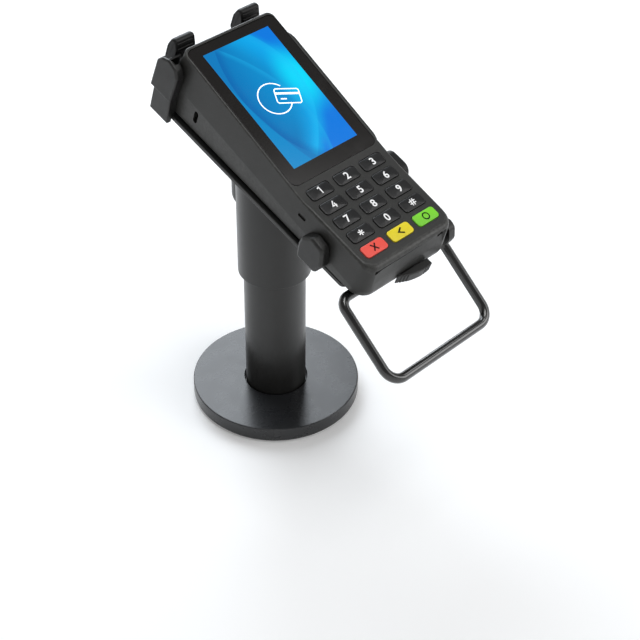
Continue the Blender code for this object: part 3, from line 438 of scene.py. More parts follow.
def powder_coat(name, colour, roughness, peel=620, depth=0.022 * MM):
    """Powder coat on metal: orange peel, fine sparkle and a few rubbed patches."""
    r = Recipe(name)
    cloud = r.noise(24, 4, 0.55)
    base = r.mix(r.remap(cloud, 0.3, 0.7), lighter(colour, 0.9), lighter(colour, 1.1))
    sparkle = r.remap(r.noise(3400, 1, 0.4), 0.66, 0.74)
    base = r.over(base, sparkle, 0.3, lighter(colour, 2.2))
    # paler rounded edges: partly wear, partly painted highlight
    base = r.over(base, r.edge(), 0.6, lighter(colour, 2.0))
    rubbed = r.noise(60, 5, 0.7)
    rough = r.remap(rubbed, 0.28, 0.75, roughness - 0.05, roughness + 0.06)
    peel_bump = r.bump(r.noise(peel, 3, 0.5), depth)
    r.finish(base, rough, r.bump(r.noise(2400, 2, 0.5), depth * 0.25, peel_bump))


def bare_steel(name, colour, roughness):
    """Turned steel with fine rings of machining marks."""
    r = Recipe(name, Metallic=1.0)
    lines = r.noise(900, 4, 0.7, r.stretched((1, 1, 9)))
    base = r.mix(lines, lighter(colour, 0.75), lighter(colour, 1.15))
    stain = r.remap(r.noise(160, 4, 0.6), 0.5, 0.75)
    base = r.over(base, stain, 0.35, (0.2, 0.18, 0.15))
    rough = r.remap(r.noise(300, 4, 0.6), 0.3, 0.7, roughness - 0.08, roughness + 0.1)
    r.finish(base, rough, r.bump(lines, 0.02 * MM))


def circuit_board(name):
    """Green laminate with etched copper runs under the lacquer."""
    r = Recipe(name)
    across = r.noise(260, 2, 0.4, r.stretched((1, 0.12, 1)))
    along = r.noise(260, 2, 0.4, r.stretched((0.12, 1, 1)))
    runs = r.remap(r.math("MAXIMUM", across, along), 0.57, 0.6)
    base = r.mix(runs, (0.008, 0.06, 0.03), (0.03, 0.17, 0.07))
    r.finish(base, r.remap(runs, 0, 1, 0.42, 0.3), r.bump(runs, 0.04 * MM))


def lacquered_wire(name):
    """Thick glossy black dip coating that lies slightly uneven on the wire."""
    r = Recipe(name, Coat_Weight=1.0, Coat_Roughness=0.06, Coat_IOR=1.5)
    flow = r.noise(70, 3, 0.5)
    base = r.mix(r.remap(flow, 0.3, 0.7), (0.004, 0.004, 0.004), (0.010, 0.010, 0.0095))
    scuff = r.remap(r.noise(900, 5, 0.7, r.stretched((1, 0.4, 1))), 0.63, 0.75)
    base = r.over(base, scuff, 0.25, (0.05, 0.05, 0.048))
    rough = r.math("ADD", r.remap(flow, 0.3, 0.7, 0.16, 0.24), r.times(scuff, 0.2))
    r.finish(base, rough, r.bump(r.noise(260, 3, 0.5), 0.02 * MM))


def brushed_disc(name):
    """Dark satin lacquer over a round-brushed disc, with faint cloudiness and tiny scratches."""
    r = Recipe(name)
    x, y = r.split()
    reach = r.away(x, y)
    join = r.new("ShaderNodeCombineXYZ")
    r.set(join.inputs[0], reach)
    rings = r.noise(2200, 3, 0.6, join.outputs[0])
    cloud = r.remap(r.noise(30, 4, 0.6), 0.3, 0.7)
    base = r.mix(cloud, (0.0165, 0.0175, 0.019), (0.021, 0.022, 0.024))
    base = r.over(base, rings, 0.2, (0.030, 0.032, 0.035))
    scratches = r.remap(r.noise(1500, 4, 0.7, r.stretched((1, 0.06, 1))), 0.70, 0.73)
    base = r.over(base, scratches, 0.3, (0.07, 0.072, 0.075))
    # paler rounded edges: partly wear, partly painted highlight
    base = r.over(base, r.edge(), 0.4, (0.07, 0.07, 0.072))
    rough = r.remap(r.noise(70, 5, 0.65), 0.3, 0.7, 0.25, 0.31)
    r.finish(base, rough, r.bump(rings, 0.005 * MM))


def lit_picture(r):
    """The screen's picture: a blue field with soft swooshes. Returns its colour and its mask."""
    x, y = r.split()
    u = r.remap(x, -PICTURE_HALF_X, PICTURE_HALF_X)
    v = r.remap(y, -PICTURE_HALF_Y, PICTURE_HALF_Y)

    def bow(tip, curve, middle):
        """Distance to the right of a bow whose tip lies at height middle."""
        off = r.math("SUBTRACT", v, middle)
        reach = r.math("SUBTRACT", tip, r.times(r.times(off, off), curve))
        return r.math("SUBTRACT", u, reach)

    def veil(colour, distance, width, tint, strength):
        """A swoosh with one crisp edge that fades to its left."""
        crisp = r.remap(distance, -0.012, 0.012, 1, 0, True)
        fade = r.remap(distance, -width, 0, 0, 1, True)
        return r.mix(r.times(r.times(crisp, fade), strength), colour, tint)

    def spot(cx, cy, squeeze=1.0):
        """Distance from a point in the picture, with its height squeezed."""
        across, along = r.math("SUBTRACT", u, cx), r.times(r.math("SUBTRACT", v, cy), squeeze)
        return r.away(across, along)

    field = r.mix(r.remap(u, 0, 0.55, 0, 1, True), (0.0, 0.178, 0.49), (0.0, 0.262, 0.61))
    field = r.mix(r.remap(v, 0.0, 0.42, 0.75, 0, True), field, (0.0, 0.165, 0.46))
    main = bow(0.86, 1.5, 0.58)
    field = r.mix(r.remap(main, -0.34, 0.0, 0, 0.85, True), field, (0.0, 0.40, 0.86))
    field = r.mix(r.remap(main, -0.01, 0.2, 0, 0.9, True), field, (0.0, 0.17, 0.74))
    field = r.mix(r.remap(spot(0.9, 0.57), 0.03, 0.36, 0.95, 0, True), field, (0.0, 0.74, 1.0))
    field = veil(field, bow(0.92, 1.45, 0.62), 0.16, (0.01, 0.56, 0.97), 0.35)
    field = veil(field, bow(0.70, 1.0, 0.30), 0.10, (0.01, 0.46, 0.86), 0.35)
    left = r.math("SUBTRACT", spot(1.02, 0.60, 1.25), 0.98)
    field = r.mix(r.remap(left, -0.12, 0.0, 0, 0.55, True), field, (0.0, 0.12, 0.42))
    field = r.mix(r.remap(left, -0.004, 0.01, 0, 0.9, True), field, (0.002, 0.205, 0.53))
    low = r.math("SUBTRACT", spot(1.3, 1.05, 0.8), 1.32)
    field = r.mix(r.remap(low, -0.004, 0.012, 0, 0.55, True), field, (0.0, 0.30, 0.66))
    inside = r.times(r.math("LESS_THAN", r.math("ABSOLUTE", x), PICTURE_HALF_X),
                    r.math("LESS_THAN", r.math("ABSOLUTE", y), PICTURE_HALF_Y))
    return field, inside


def screen_glass(name):
    """Black-bordered cover glass with the lit picture behind it and a few finger marks on it."""
    r = Recipe(name, Specular_IOR_Level=0.3, Emission_Strength=1.0)
    field, inside = lit_picture(r)
    base = r.mix(inside, (0.0125, 0.0112, 0.0105), (0.0, 0.0, 0.0))
    marks = r.remap(r.noise(48, 6, 0.7), 0.52, 0.78)
    r.fill(r.shader, Emission_Color=r.mix(inside, (0.0, 0.0, 0.0), field))
    rough = r.math("ADD", 0.16, r.times(marks, 0.1))
    r.finish(base, rough, r.bump(r.noise(15, 2, 0.4), 0.01 * MM))


def key_plastic(name, colour, roughness):
    # how much paler the key edges are painted: partly wear, partly painted highlight
    wear_and_painted_light = 1.35 if max(colour) > 0.1 else 2.6
    moulded(name, colour, roughness, grain=2200, depth=0.01 * MM, wear_and_painted_light=wear_and_painted_light, mottle=0.08)


def printed(name, colour, glow=0.0, **sockets):
    """Ink, or a mark that glows (lit on the screen, a painted glow on the white key legends), slightly uneven.
    """
    r = Recipe(name, Emission_Strength=glow, **sockets)
    base = r.mix(r.remap(r.noise(900, 3, 0.6), 0.3, 0.7), lighter(colour, 0.93), colour)
    if glow:
        r.fill(r.shader, Emission_Color=base)
    rough = r.remap(r.noise(500, 2, 0.5), 0.3, 0.7, 0.45, 0.6)
    r.finish(base, rough, r.bump(r.noise(2500, 2, 0.5), 0.005 * MM))


brushed_disc("base_paint")
powder_coat("pole_paint", (0.0135, 0.0135, 0.0128), 0.32)
powder_coat("plate_paint", (0.012, 0.012, 0.0115), 0.36, peel=900, depth=0.015 * MM)
moulded("case_plastic", (0.019, 0.019, 0.0175), 0.42)
moulded("clip_plastic", (0.0072, 0.0072, 0.0067), 0.42, grain=1500)
moulded("hook_rubber", (0.0055, 0.0055, 0.0055), 0.44, 1100, 0.03 * MM, 3.0, Specular_IOR_Level=0.3)
lacquered_wire("handle_coat")
screen_glass("screen_glass")
key_plastic("screen_picture", (0.02, 0.10, 0.30), 0.3)
key_plastic("key_black", (0.0085, 0.0085, 0.009), 0.30)
key_plastic("key_red", (0.88, 0.085, 0.06), 0.38)
key_plastic("key_yellow", (0.86, 0.70, 0.014), 0.38)
key_plastic("key_green", (0.20, 0.68, 0.025), 0.38)
circuit_board("board")
bare_steel("screw_steel", (0.42, 0.41, 0.39), 0.32)
moulded("soft_rubber", (0.014, 0.014, 0.014), 0.78, 1200, 0.04 * MM, 1.8, 0.2)
moulded("bush_plastic", (0.55, 0.55, 0.52), 0.4, wear_and_painted_light=1.1, mottle=0.06)
# the white key legends get a faint painted glow, so they stay bright whatever the lamps
printed("legend_white", (0.86, 0.86, 0.86), 0.12)
printed("legend_black", (0.004, 0.004, 0.004), Specular_IOR_Level=0.15)
printed("icon_white", (0.9, 0.95, 1.0), 0.75)


# ---- stand ----


def make_stand():
    """The disc base, the pole and the sleeve that turns on it."""
    e = BASE_EDGE
    profile = [(BASE_HOLE, BASE_LOW)] + arc(BASE_RADIUS - e, BASE_LOW + e, e, -90, 0, 4)
    profile += arc(BASE_RADIUS - e, BASE_TOP - e, e, 0, 90, 4) + [(BASE_BORE + BORE_EDGE, BASE_TOP)]
    profile += [(BASE_BORE, BASE_TOP - BORE_EDGE), (BASE_BORE, BASE_SEAT), (BASE_HOLE, BASE_SEAT)]
    base = turned(profile)
    # the base's top rim is marked for paler edges: partly wear, partly painted highlight
    layer = edge_layer(base)
    for face in base.faces:
        middle = face.calc_center_median()
        if middle.xy.length > BASE_RADIUS - e and middle.z > BASE_TOP - e:
            face[layer] = 1.0
    show("base_disc", base, "base_paint", "stand", ["base_plate"])
    e = TUBE_EDGE
    profile = [(TUBE_INNER, TUBE_FOOT), (TUBE_RADIUS, TUBE_FOOT), (TUBE_RADIUS, TUBE_TOP - e)]
    profile += [(TUBE_RADIUS - e, TUBE_TOP), (TUBE_INNER, TUBE_TOP)]
    show("pole", turned(profile), "pole_paint", "stand", ["pole_tube"])
    profile = [(SLEEVE_INNER, SLEEVE_BOTTOM)] + arc(SLEEVE_RADIUS - e, SLEEVE_BOTTOM + e, e, -90, 0, 4)
    profile += arc(SLEEVE_RADIUS - e, SLEEVE_TOP - e, e, 0, 90, 4) + [(SLEEVE_INNER, SLEEVE_TOP)]
    show("sleeve", turned(profile), "pole_paint", "swivel_head", ["pole_sleeve"])


def make_hood():
    """The cover behind the head, half round, with its lower end drawn in."""
    rings = []
    levels, narrowest = 14, 0.2
    for i in range(levels + 1):
        part = i / levels
        shrink = math.sqrt(1 - (1 - part) ** 2) * (1 - narrowest) + narrowest
        height = HOOD_BOTTOM + (HOOD_BEND - HOOD_BOTTOM) * part
        rings.append([(x, y, height) for x, y in circle(0, HOOD_CENTRE, HOOD_RADIUS * shrink, 64)])
    rings.append([(x, y, HOOD_TOP) for x, y in circle(0, HOOD_CENTRE, HOOD_RADIUS, 64)])
    pole = prism(circle(0, 0, SLEEVE_RADIUS + 0.3 * MM, 160), HOOD_BOTTOM - BEYOND, HOOD_TOP + BEYOND)
    show("hood", combined(loft(rings), "DIFFERENCE", pole), "clip_plastic", "swivel_head", ["rear_hood"])


# ---- grip plate and grips ----


def make_plate():
    plate = eased(prism(softened(PLATE_OUTLINE), PLATE_UNDER, PLATE_TOP), 0.5 * MM)
    low, high = PLATE_UNDER - BEYOND, PLATE_TOP + BEYOND
    cutters = [prism(circle(x, y, PLATE_SCREW_RADIUS, 32), low, high) for x, y in PLATE_SCREWS]
    for x in (-SLOT_MIDDLE, SLOT_MIDDLE):
        for near, far in PLATE_SLOTS:
            cutters.append(prism(rounded(x - SLOT_HALF, x + SLOT_HALF, near, far, SLOT_CORNER), low, high))
    plate = combined(plate, "DIFFERENCE", *cutters)
    show("plate", plate, "plate_paint", HOLDER, ["grip_plate"], TILT)


def leaned(made, side, level, lean):
    """Leans the outer face of a cheek in, away from a level."""
    for vert in made.verts:
        if abs(vert.co.x) > CLIP_OUTER - 1 * MM:
            vert.co.x -= side * lean * abs(vert.co.z - level)
    return made


def span(side, near, far):
    """From near to far on that side of the middle, lowest first."""
    return sorted((side * near, side * far))


def cheek_block(outline, side, width, level=0.0, lean=0.0):
    made = leaned(prism(outline, *span(side, CLIP_TOUCH, CLIP_OUTER), "x"), side, level, lean)
    return eased(made, width, chosen=lambda e: all(abs(v.co.x) > CLIP_BESIDE for v in e.verts), segments=5)


def side_clip(name, cheek, side, foot, nodes, finish="clip_plastic", foot_end=30 * MM):
    """A cheek against the case's side, on a foot that lies on the plate."""
    seat = PLATE_TOP + 0.3 * MM
    beside = block(*span(side, 0, CLIP_BESIDE), -0.2, 0.2, 0, seat)
    rest = block(*span(side, foot_end, CLIP_BESIDE + 1 * MM), *foot, seat, PAD_TOP)
    cheek = combined(combined(cheek, "DIFFERENCE", beside), "UNION", eased(rest, 0.3 * MM))
    show(name, cheek, finish, HOLDER, nodes, TILT, flat=32)


def make_clips():
    """Two-part clips at the case's rear corners and a rounded one at each cheek."""
    split = CORNER_SPLIT / MM
    tops = {
        "corner_clip_left": ((80.9, 57, 3), (77.6, 61.6, 4), (71.0, 64.2, 5), (64.0, 61.8, 4), (60.6, 56.5, 3)),
        "corner_clip_right": ((80.2, 49, 4), (60.9, 50, 4), (60.5, 44, 3)),
    }
    for (name, top), side in zip(tops.items(), (-1, 1)):
        upper = softened(((61.2, split, 0), (81.0, split, 0), *top))
        lower = softened(((60.0, 17.0, 0), (77.3, 17.0, 0), (77.7, split + 3, 0), (61.2, split + 3, 0)))
        upper = cheek_block(upper, side, 1.6 * MM, CORNER_SPLIT, CLIP_LEAN)
        lower = cheek_block(lower, side, 0.9 * MM, CORNER_SPLIT - 2 * MM, CLIP_DRAFT)
        notch = block(*span(side, *mm(40, 45.3)), *mm(67, 84, 59.6, 70))
        cheek = combined(combined(upper, "DIFFERENCE", notch), "UNION", lower)
        if side < 0:
            lug = eased(block(*span(side, *mm(33.6, 46)), *CORNER_LUG), 0.7 * MM)
            cheek = combined(cheek, "UNION", lug)
        side_clip(f"{name}_shell", cheek, side, mm(62.4, 72.9), [name], foot_end=40.4 * MM)
    left = softened((
        (-66.5, 18.8, 3), (-64.6, 30, 6), (-65.5, 36, 3), (-73, 42.6, 4), (-83.5, 40.5, 5), (-86.9, 28, 5),
        (-83, 18.8, 3),
    ))
    right = softened((
        (-89, 18.8, 2), (-89, 26, 4), (-99, 30, 6), (-106.5, 37.6, 4), (-112.6, 35.6, 5), (-116.0, 28, 6),
        (-114.2, 19.6, 3), (-101.5, 19.6, 0), (-100, 18.8, 0.8),
    ))
    left, right = cheek_block(left, -1, 2.4 * MM), cheek_block(right, 1, 1.9 * MM)
    side_clip("cheek_clip_left_shell", left, -1, mm(-81, -70), ["cheek_clip_left"])
    side_clip("cheek_clip_right_shell", right, 1, mm(-99, -91), ["cheek_clip_right"])


def make_side_hook():
    """The grip on the right-hand side, with ribs across its outer face."""
    m, h = SIDE_HOOK_MIDDLE / MM, SIDE_HOOK_HALF / MM
    outline = softened((
        (m - h + 2, 17.3, 1), (m + h - 2, 17.3, 1), (m + h, 34, 2), (m + h - 1, 45.8, 6), (m - h, 45.8, 7),
        (m - h, 34, 2),
    ))
    cheek = cheek_block(outline, 1, 1.6 * MM)
    ribs = []
    for z in mm(31, 33.4, 35.8, 38.2, 40.6):
        groove = circle(CLIP_OUTER + 0.25 * MM, z, 0.6 * MM, 12)
        ribs.append(prism(groove, SIDE_HOOK_MIDDLE - 8 * MM, SIDE_HOOK_MIDDLE + 8 * MM, "y"))
    cheek = combined(cheek, "DIFFERENCE", *ribs)
    foot = (SIDE_HOOK_MIDDLE - 7 * MM, SIDE_HOOK_MIDDLE + 7 * MM)
    side_clip("side_hook_shell", cheek, 1, foot, ["side_hook_right"], "hook_rubber")


def hook_head(middle):
    """The hook's domed head. Its section shrinks towards HOOK_PIVOT at both ends."""
    outline = softened((
        (77.1, 50, 1), (81.3, 48.5, 1.5), (85.0, 51, 2), (85.0, 62, 7), (82.2, 69.9, 3.5), (78.6, 69.0, 2.2),
        (75.5, 62.5, 2), (75.5, 55, 2),
    ), 6)
    rings = []
    steps = 18
    pivot_y, pivot_z = HOOK_PIVOT
    for i in range(steps + 1):
        across = -math.cos(math.pi * i / steps)
        part = min(1.0, max(0.0, (abs(across) - 0.74) / 0.26))
        shrink = 0.80 + 0.20 * math.sqrt(max(0.0, 1 - part ** 2))
        x = middle + across * HOOK_HALF
        section = [(pivot_y + (y - pivot_y) * shrink, pivot_z + (z - pivot_z) * shrink) for y, z in outline]
        rings.append([(x, y, z) for y, z in section])
    return loft(rings)


def make_rear_hooks():
    """Ribbed hooks that lean on the case's upper rear edge, on arms behind it."""
    arm = softened((
        (60, 22.15, 0), (77.1, 22.15, 0), (77.1, 17.85, 0), (81, 17.85, 1), (81, 52, 0), (78, 52, 0),
        (77.1, 24.45, 0), (60, 24.45, 0),
    ))
    for name, middle in (("rear_hook_left", -HOOK_CENTRE), ("rear_hook_right", HOOK_CENTRE)):
        left, right = middle - HOOK_HALF - 1 * MM, middle + HOOK_HALF + 1 * MM
        ribs = [block(left, right, *mm(82.5, 90, z, z + 0.6)) for z in HATCH_HEIGHTS]
        ends = middle - 6.6 * MM, middle + 6.2 * MM
        grooves = [prism(circle(*mm(y, z, r), 14), *ends, "x") for y, z, r in HOOK_GROOVES]
        head = combined(combined(hook_head(middle), "DIFFERENCE", *ribs), "DIFFERENCE", *grooves)
        stem = eased(prism(arm, middle - 5 * MM, middle + 5 * MM, "x"), 0.5 * MM)
        show(f"{name}_grip", combined(head, "UNION", stem), "hook_rubber", HOLDER, [name], TILT, flat=30)


def stop_depth(part):
    """How far the stop bows out, from -1 at its left end to 1 at its right."""
    return (5.2 + 2.2 * part - 2.3 * part * part) * MM


def make_front_stop():
    """The ribbed stop at the case's lower front edge, bowed outwards, on an arm under the plate."""
    steps = [i / 12 - 1 for i in range(25)]
    outline = [(STOP_CENTRE + STOP_HALF * part, STOP_BACK - stop_depth(part)) for part in steps]
    outline += [(STOP_CENTRE + STOP_HALF, STOP_BACK), (STOP_CENTRE - STOP_HALF, STOP_BACK)]
    stop = eased(prism(outline, STOP_BOTTOM, STOP_TOP), 0.7 * MM, segments=3)
    grooves = []
    for inset in (2.2, 4.4, 6.6):
        for side in (-1, 1):
            reach = side * (STOP_HALF - inset * MM)
            y = STOP_BACK - stop_depth(reach / STOP_HALF) - 0.1 * MM
            groove = circle(STOP_CENTRE + reach, y, 0.7 * MM, 12)
            grooves.append(prism(groove, STOP_BOTTOM - BEYOND, STOP_TOP + BEYOND))
    stop = combined(stop, "DIFFERENCE", *grooves)
    arm = (
        (-84, 14), (-84, 18.55), (-102.6, 18.55), (-102.6, 24.45), (-117.9, 24.45), (-117.9, 21), (-102.6, 14))
    arm = prism([mm(*point) for point in arm], STOP_CENTRE - 4 * MM, STOP_CENTRE + 4 * MM, "x")
    stop = combined(stop, "UNION", eased(arm, 0.4 * MM))
    show("front_stop_grip", stop, "clip_plastic", HOLDER, ["front_stop"], TILT, flat=30)


def bent(corners):
    """Points along a wire bent at each corner by an arc of that corner's radius."""
    points = [corners[0][0]]
    for (before, _), (here, radius), (after, _) in zip(corners, corners[1:], corners[2:]):
        into, away = (before - here).normalized(), (after - here).normalized()
        half = into.angle(away) / 2
        centre = here + (into + away).normalized() * (radius / math.sin(half))
        reach = radius / math.tan(half)
        points += [centre + s for s in spokes(here + into * reach - centre, here + away * reach - centre, 12)]
    points.append(corners[-1][0])
    return points


def make_handle():
    half = [(Vector(p) * MM, radius * MM) for p, radius in HANDLE_CORNERS]
    other = [(Vector((-p.x, p.y, p.z)), radius) for p, radius in reversed(half)]
    route = bent(half + other)
    curve = bpy.data.curves.new("wire", "CURVE")
    curve.dimensions = "3D"
    curve.bevel_depth = WIRE_RADIUS
    curve.bevel_resolution = 8
    curve.use_fill_caps = True
    spline = curve.splines.new("POLY")
    spline.points.add(len(route) - 1)
    for point, place in zip(spline.points, route):
        point.co = (*place, 1)
    source = placed("wire", curve)
    made = evaluated(source)
    bpy.data.objects.remove(source)
    show("handle_wire", made, "handle_coat", HOLDER, ["handle"], TILT)


# ---- terminal ----


def keypad_height(y):
    return KEYPAD_CENTRE.z - KEY_PROUD + (y - KEYPAD_CENTRE.y) * math.tan(KEYPAD_SLOPE)


def top_height(y):
    """Height of the case's top, with a soft bend where its two slopes meet."""
    low, high = math.tan(KEYPAD_SLOPE), math.tan(SCREEN_SLOPE)
    past = y - BEND
    blend = math.hypot(past, 1.5 * MM)
    return keypad_height(BEND) + (low + high) / 2 * past + (high - low) / 2 * blend


def smoothstep(value, low, high):
    part = min(1.0, max(0.0, (value - low) / (high - low)))
    return part * part * (3 - 2 * part)


def top_round(y):
    """The top edge is crisp beside the screen and broad round the keypad's front."""
    return (1.0 + 0.9 * smoothstep(-y, 46 * MM, 66 * MM) + 2.1 * smoothstep(-y, 102 * MM, 114 * MM)) * MM


def bottom_round(y):
    return (0.8 + 0.5 * smoothstep(-y, 104 * MM, 114 * MM)) * MM


def half_outline():
    """(centre, direction, radius) of each point of the right half, from the front face to the rear."""
    def corner(radius, y, start):
        steps = 12
        for i in range(steps + 1):
            turn = math.radians(start + 90 * i / steps)
            yield (CASE_HALF - radius, y), (math.cos(turn), math.sin(turn)), radius

    points = list(corner(FRONT_CORNER, CASE_FRONT + FRONT_CORNER, -90))
    for y in (*range(-103, -77, 3), *range(-76, -26, 2), *range(-24, 64, 8)):  # closest round the bend
        points.append(((0.0, y * MM), (1.0, 0.0), CASE_HALF))
    return points + list(corner(REAR_CORNER, CASE_REAR - REAR_CORNER, 0))


def case_ring(level):
    """A ring of the shell. level(y) gives its (height, extra inset) beside a point at y."""
    right = []
    for (cx, cy), (dx, dy), radius in half_outline():
        y = cy + dy * radius
        height, inset = level(y)
        crease = CREASE_HEIGHT + CREASE_SLOPE * y
        inset += LEAN * max(0.0, height - crease) + DRAFT * max(0.0, crease - height)
        reach = radius - inset
        right.append((cx + dx * reach, cy + dy * reach, height))
    return right + [(-x, y, z) for x, y, z in reversed(right)]


def crease_level(y, offset):
    height = CREASE_HEIGHT + CREASE_SLOPE * y + offset
    low = CASE_BOTTOM + bottom_round(y) + 0.4 * MM + offset + 0.5 * MM
    return max(height, low), 0.0


def case_shell():
    """The case's outer shape: rounded bottom edge, creased sides, rounded top edge, two-slope top."""
    levels, wear_and_painted_light = [], []
    for step in range(5):
        turn = math.radians(90 * step / 4)
        levels.append(lambda y, t=turn: (
            CASE_BOTTOM + bottom_round(y) * (1 - math.sin(t)), bottom_round(y) * (1 - math.cos(t))))
    levels.reverse()
    # the lower side below the crease is painted paler, standing in for the light it catches from the floor
    wear_and_painted_light += [True] * 4 + [PAINTED_FLOOR_LIGHT]
    for offset in (-0.5 * MM, 0.5 * MM):
        levels.append(lambda y, o=offset: crease_level(y, o))
    wear_and_painted_light += [False, False]
    for step in range(7):
        turn = math.radians(90 * step / 6)
        levels.append(lambda y, t=turn: (
            top_height(y) - top_round(y) * (1 - math.sin(t)), top_round(y) * (1 - math.cos(t))))
    wear_and_painted_light += [True] * 6
    made = bmesh.new()
    layer = edge_layer(made)
    rows = [[made.verts.new(p) for p in case_ring(level)] for level in levels]
    for low, high, edge in zip(rows, rows[1:], wear_and_painted_light):
        for i in range(len(low)):
            j = (i + 1) % len(low)
            made.faces.new((low[i], low[j], high[j], high[i]))[layer] = float(edge)
    for row in (rows[0], rows[-1]):
        for i in range(len(row) // 2 - 1):
            made.faces.new((row[i], row[i + 1], row[-2 - i], row[-1 - i]))
    return made


def ridge_shape():
    """The raised strip along the right-hand side of the screen, in the screen's frame."""
    inner, outer, rear, front = RIDGE
    rings = []
    for d, height in ((0, -12), (0, -2.9), (0.15, -2.0), (0.5, -1.3), (1.0, -0.95), (1.5, -0.85)):
        outline = (
            (inner, front + 2 * d), (outer - 2.6, front + 2 * d), (outer - 0.9 - d, front + 2.4),
            (outer - d, front + 6), (outer - d, rear - 6), (outer - 0.9 - d, rear - 2.6),
            (outer - 2.8, rear - d), (inner, rear - d),
        )
        rings.append([mm(x, y, height) for x, y in outline])
    return loft(rings)


def mouth_shape():
    """Cutter of the card mouth: a shallow recess with soft shoulders that fades out at its left end."""
    rings = []
    for x, depth in MOUTH_DEPTHS:
        section = (
            (-130, 33.2), (-116.35, 33.2), (-116.1 + depth / 4, 35.6), (-115.4 + depth, 42.4),
            (-115.1 + depth, 44.8), (-130, 45.0),
        )
        rings.append([mm(x, y, z) for y, z in section])
    return loft(rings)


def key_outline(grow):
    half_x, half_y = KEY_LENGTH / 2 + grow, KEY_WIDTH / 2 + grow
    return rounded(-half_x, half_x, -half_y, half_y, max(KEY_CORNER + grow, 0.6 * MM))


def key_places():
    for row, names in enumerate(KEY_ROWS):
        for column, name in enumerate(names.split()):
            yield name, (column - 1) * KEY_PITCH_X, -row * KEY_PITCH_Y


def make_case():
    """The shell with its seats for glass and keys, its mouth, side holes and screw holes."""
    shell = combined(case_shell(), "UNION", moved(ridge_shape(), SCREEN_IN_TILT))
    half, gap = GLASS_HALF + GLASS_GAP, GLASS_GAP
    glass = rounded(-half, half, GLASS_FRONT - gap, GLASS_REAR + gap, GLASS_CORNER)
    cutters = [moved(prism(glass, -GLASS_THICKNESS - 0.3 * MM, BEYOND), SCREEN_IN_TILT)]
    for _, x, y in key_places():
        hole = prism([(x + u, y + v) for u, v in key_outline(0.4 * MM)], -3.4 * MM, BEYOND)
        cutters.append(moved(hole, KEYPAD_IN_TILT))
    shell = combined(shell, "DIFFERENCE", *cutters)
    out = CASE_FRONT - BEYOND
    slots = [block(x0, x1, out, CASE_FRONT + depth, z0, z1) for x0, x1, depth, z0, z1 in CARD_SLOTS]
    holes = [prism(rounded(*hole), -50 * MM, -CASE_HALF + depth, "x") for *hole, depth in SIDE_HOLES]
    for cutter in (mouth_shape(), *slots, *holes):
        shell = combined(shell, "DIFFERENCE", cutter)
    low, high = CASE_BOTTOM - BEYOND, CASE_BOTTOM + 1.2 * MM
    bores = [prism(circle(x, y, 3 * MM, 32), low, high) for x, y in CASE_SCREWS]
    shell = combined(shell, "DIFFERENCE", *bores)
    show("case_shell", shell, "case_plastic", HOLDER, ["upper_case", "lower_case"], TILT, flat=24)


def make_glass():
    outline = rounded(-GLASS_HALF, GLASS_HALF, GLASS_FRONT, GLASS_REAR, GLASS_CORNER, 12)
    glass = eased(prism(outline, -GLASS_THICKNESS, 0), 0.25 * MM, segments=2)
    place = TILT @ SCREEN_IN_TILT
    show("cover_glass", glass, "screen_glass", HOLDER, ["display_glass"], place, keeps_axes=True)


def outline_band(points, width, closed):
    """Faces along a route of points, width across, as a flat bmesh in its own plane."""
    made = bmesh.new()
    rows = []
    count = len(points)
    for i, point in enumerate(points):
        here = Vector(point)
        before = Vector(points[i - 1]) if closed or i else None
        after = Vector(points[(i + 1) % count]) if closed or i < count - 1 else None
        into = (here - before).normalized() if before else (after - here).normalized()
        away = (after - here).normalized() if after else into
        across = (into + away).normalized()
        side = Vector((-across.y, across.x)) * (width / 2 / max(0.5, across.dot(into)))
        rows.append([made.verts.new((*(here + side), 0)), made.verts.new((*(here - side), 0))])
    for i in range(count if closed else count - 1):
        near, far = rows[i], rows[(i + 1) % count]
        made.faces.new((near[0], far[0], far[1], near[1]))
    return made


def raised(made, height):
    """Gives a flat bmesh a thickness."""
    bmesh.ops.recalc_face_normals(made, faces=made.faces)
    lifted = bmesh.ops.extrude_face_region(made, geom=made.faces[:])
    for vert in (v for v in lifted["geom"] if isinstance(v, bmesh.types.BMVert)):
        vert.co.z += height
    return made


def mark(name, strokes, finish, body, place):
    """Printed strokes: each is (points, width, closed)."""
    whole = bmesh.new()
    for points, width, closed in strokes:
        mesh = bpy.data.meshes.new("stroke")
        stroke = raised(outline_band(points, width, closed), INK)
        stroke.to_mesh(mesh)
        stroke.free()
        whole.from_mesh(mesh)
        bpy.data.meshes.remove(mesh)
    show(name, whole, finish, body, place=place)


def make_icon():
    """A generic sign on the screen: a ring with a bank card held to it."""
    ring = arc(-5 * MM, 0, 11.5 * MM, 32, 320, 72)
    turn, centre = Matrix.Rotation(math.radians(-24), 2), Vector(mm(4.6, -2.2))

    def on_card(points):
        return [tuple(turn @ Vector(p) + centre) for p in points]

    card = on_card(rounded(*mm(-8.6, 8.6, -5.4, 5.4, 1.6)))
    stripe, chip = on_card((mm(-8.2, 1.9), mm(8.2, 1.9))), on_card((mm(-5.6, -2.2), mm(-1.4, -2.2)))
    line = 0.75 * MM
    strokes = [(ring, line, False), (card, line, True), (stripe, 1.5 * MM, False), (chip, 0.9 * MM, False)]
    place = TILT @ SCREEN_IN_TILT @ Matrix.Translation((0, 0, 0.01 * MM))
    mark("screen_icon", strokes, "icon_white", HOLDER, place)


def crown(u, v):
    """How far a key's crowned top falls away from its middle."""
    return 0.42 * MM * (u / KEY_LENGTH * 2) ** 2 + 0.2 * MM * (v / KEY_WIDTH * 2) ** 2


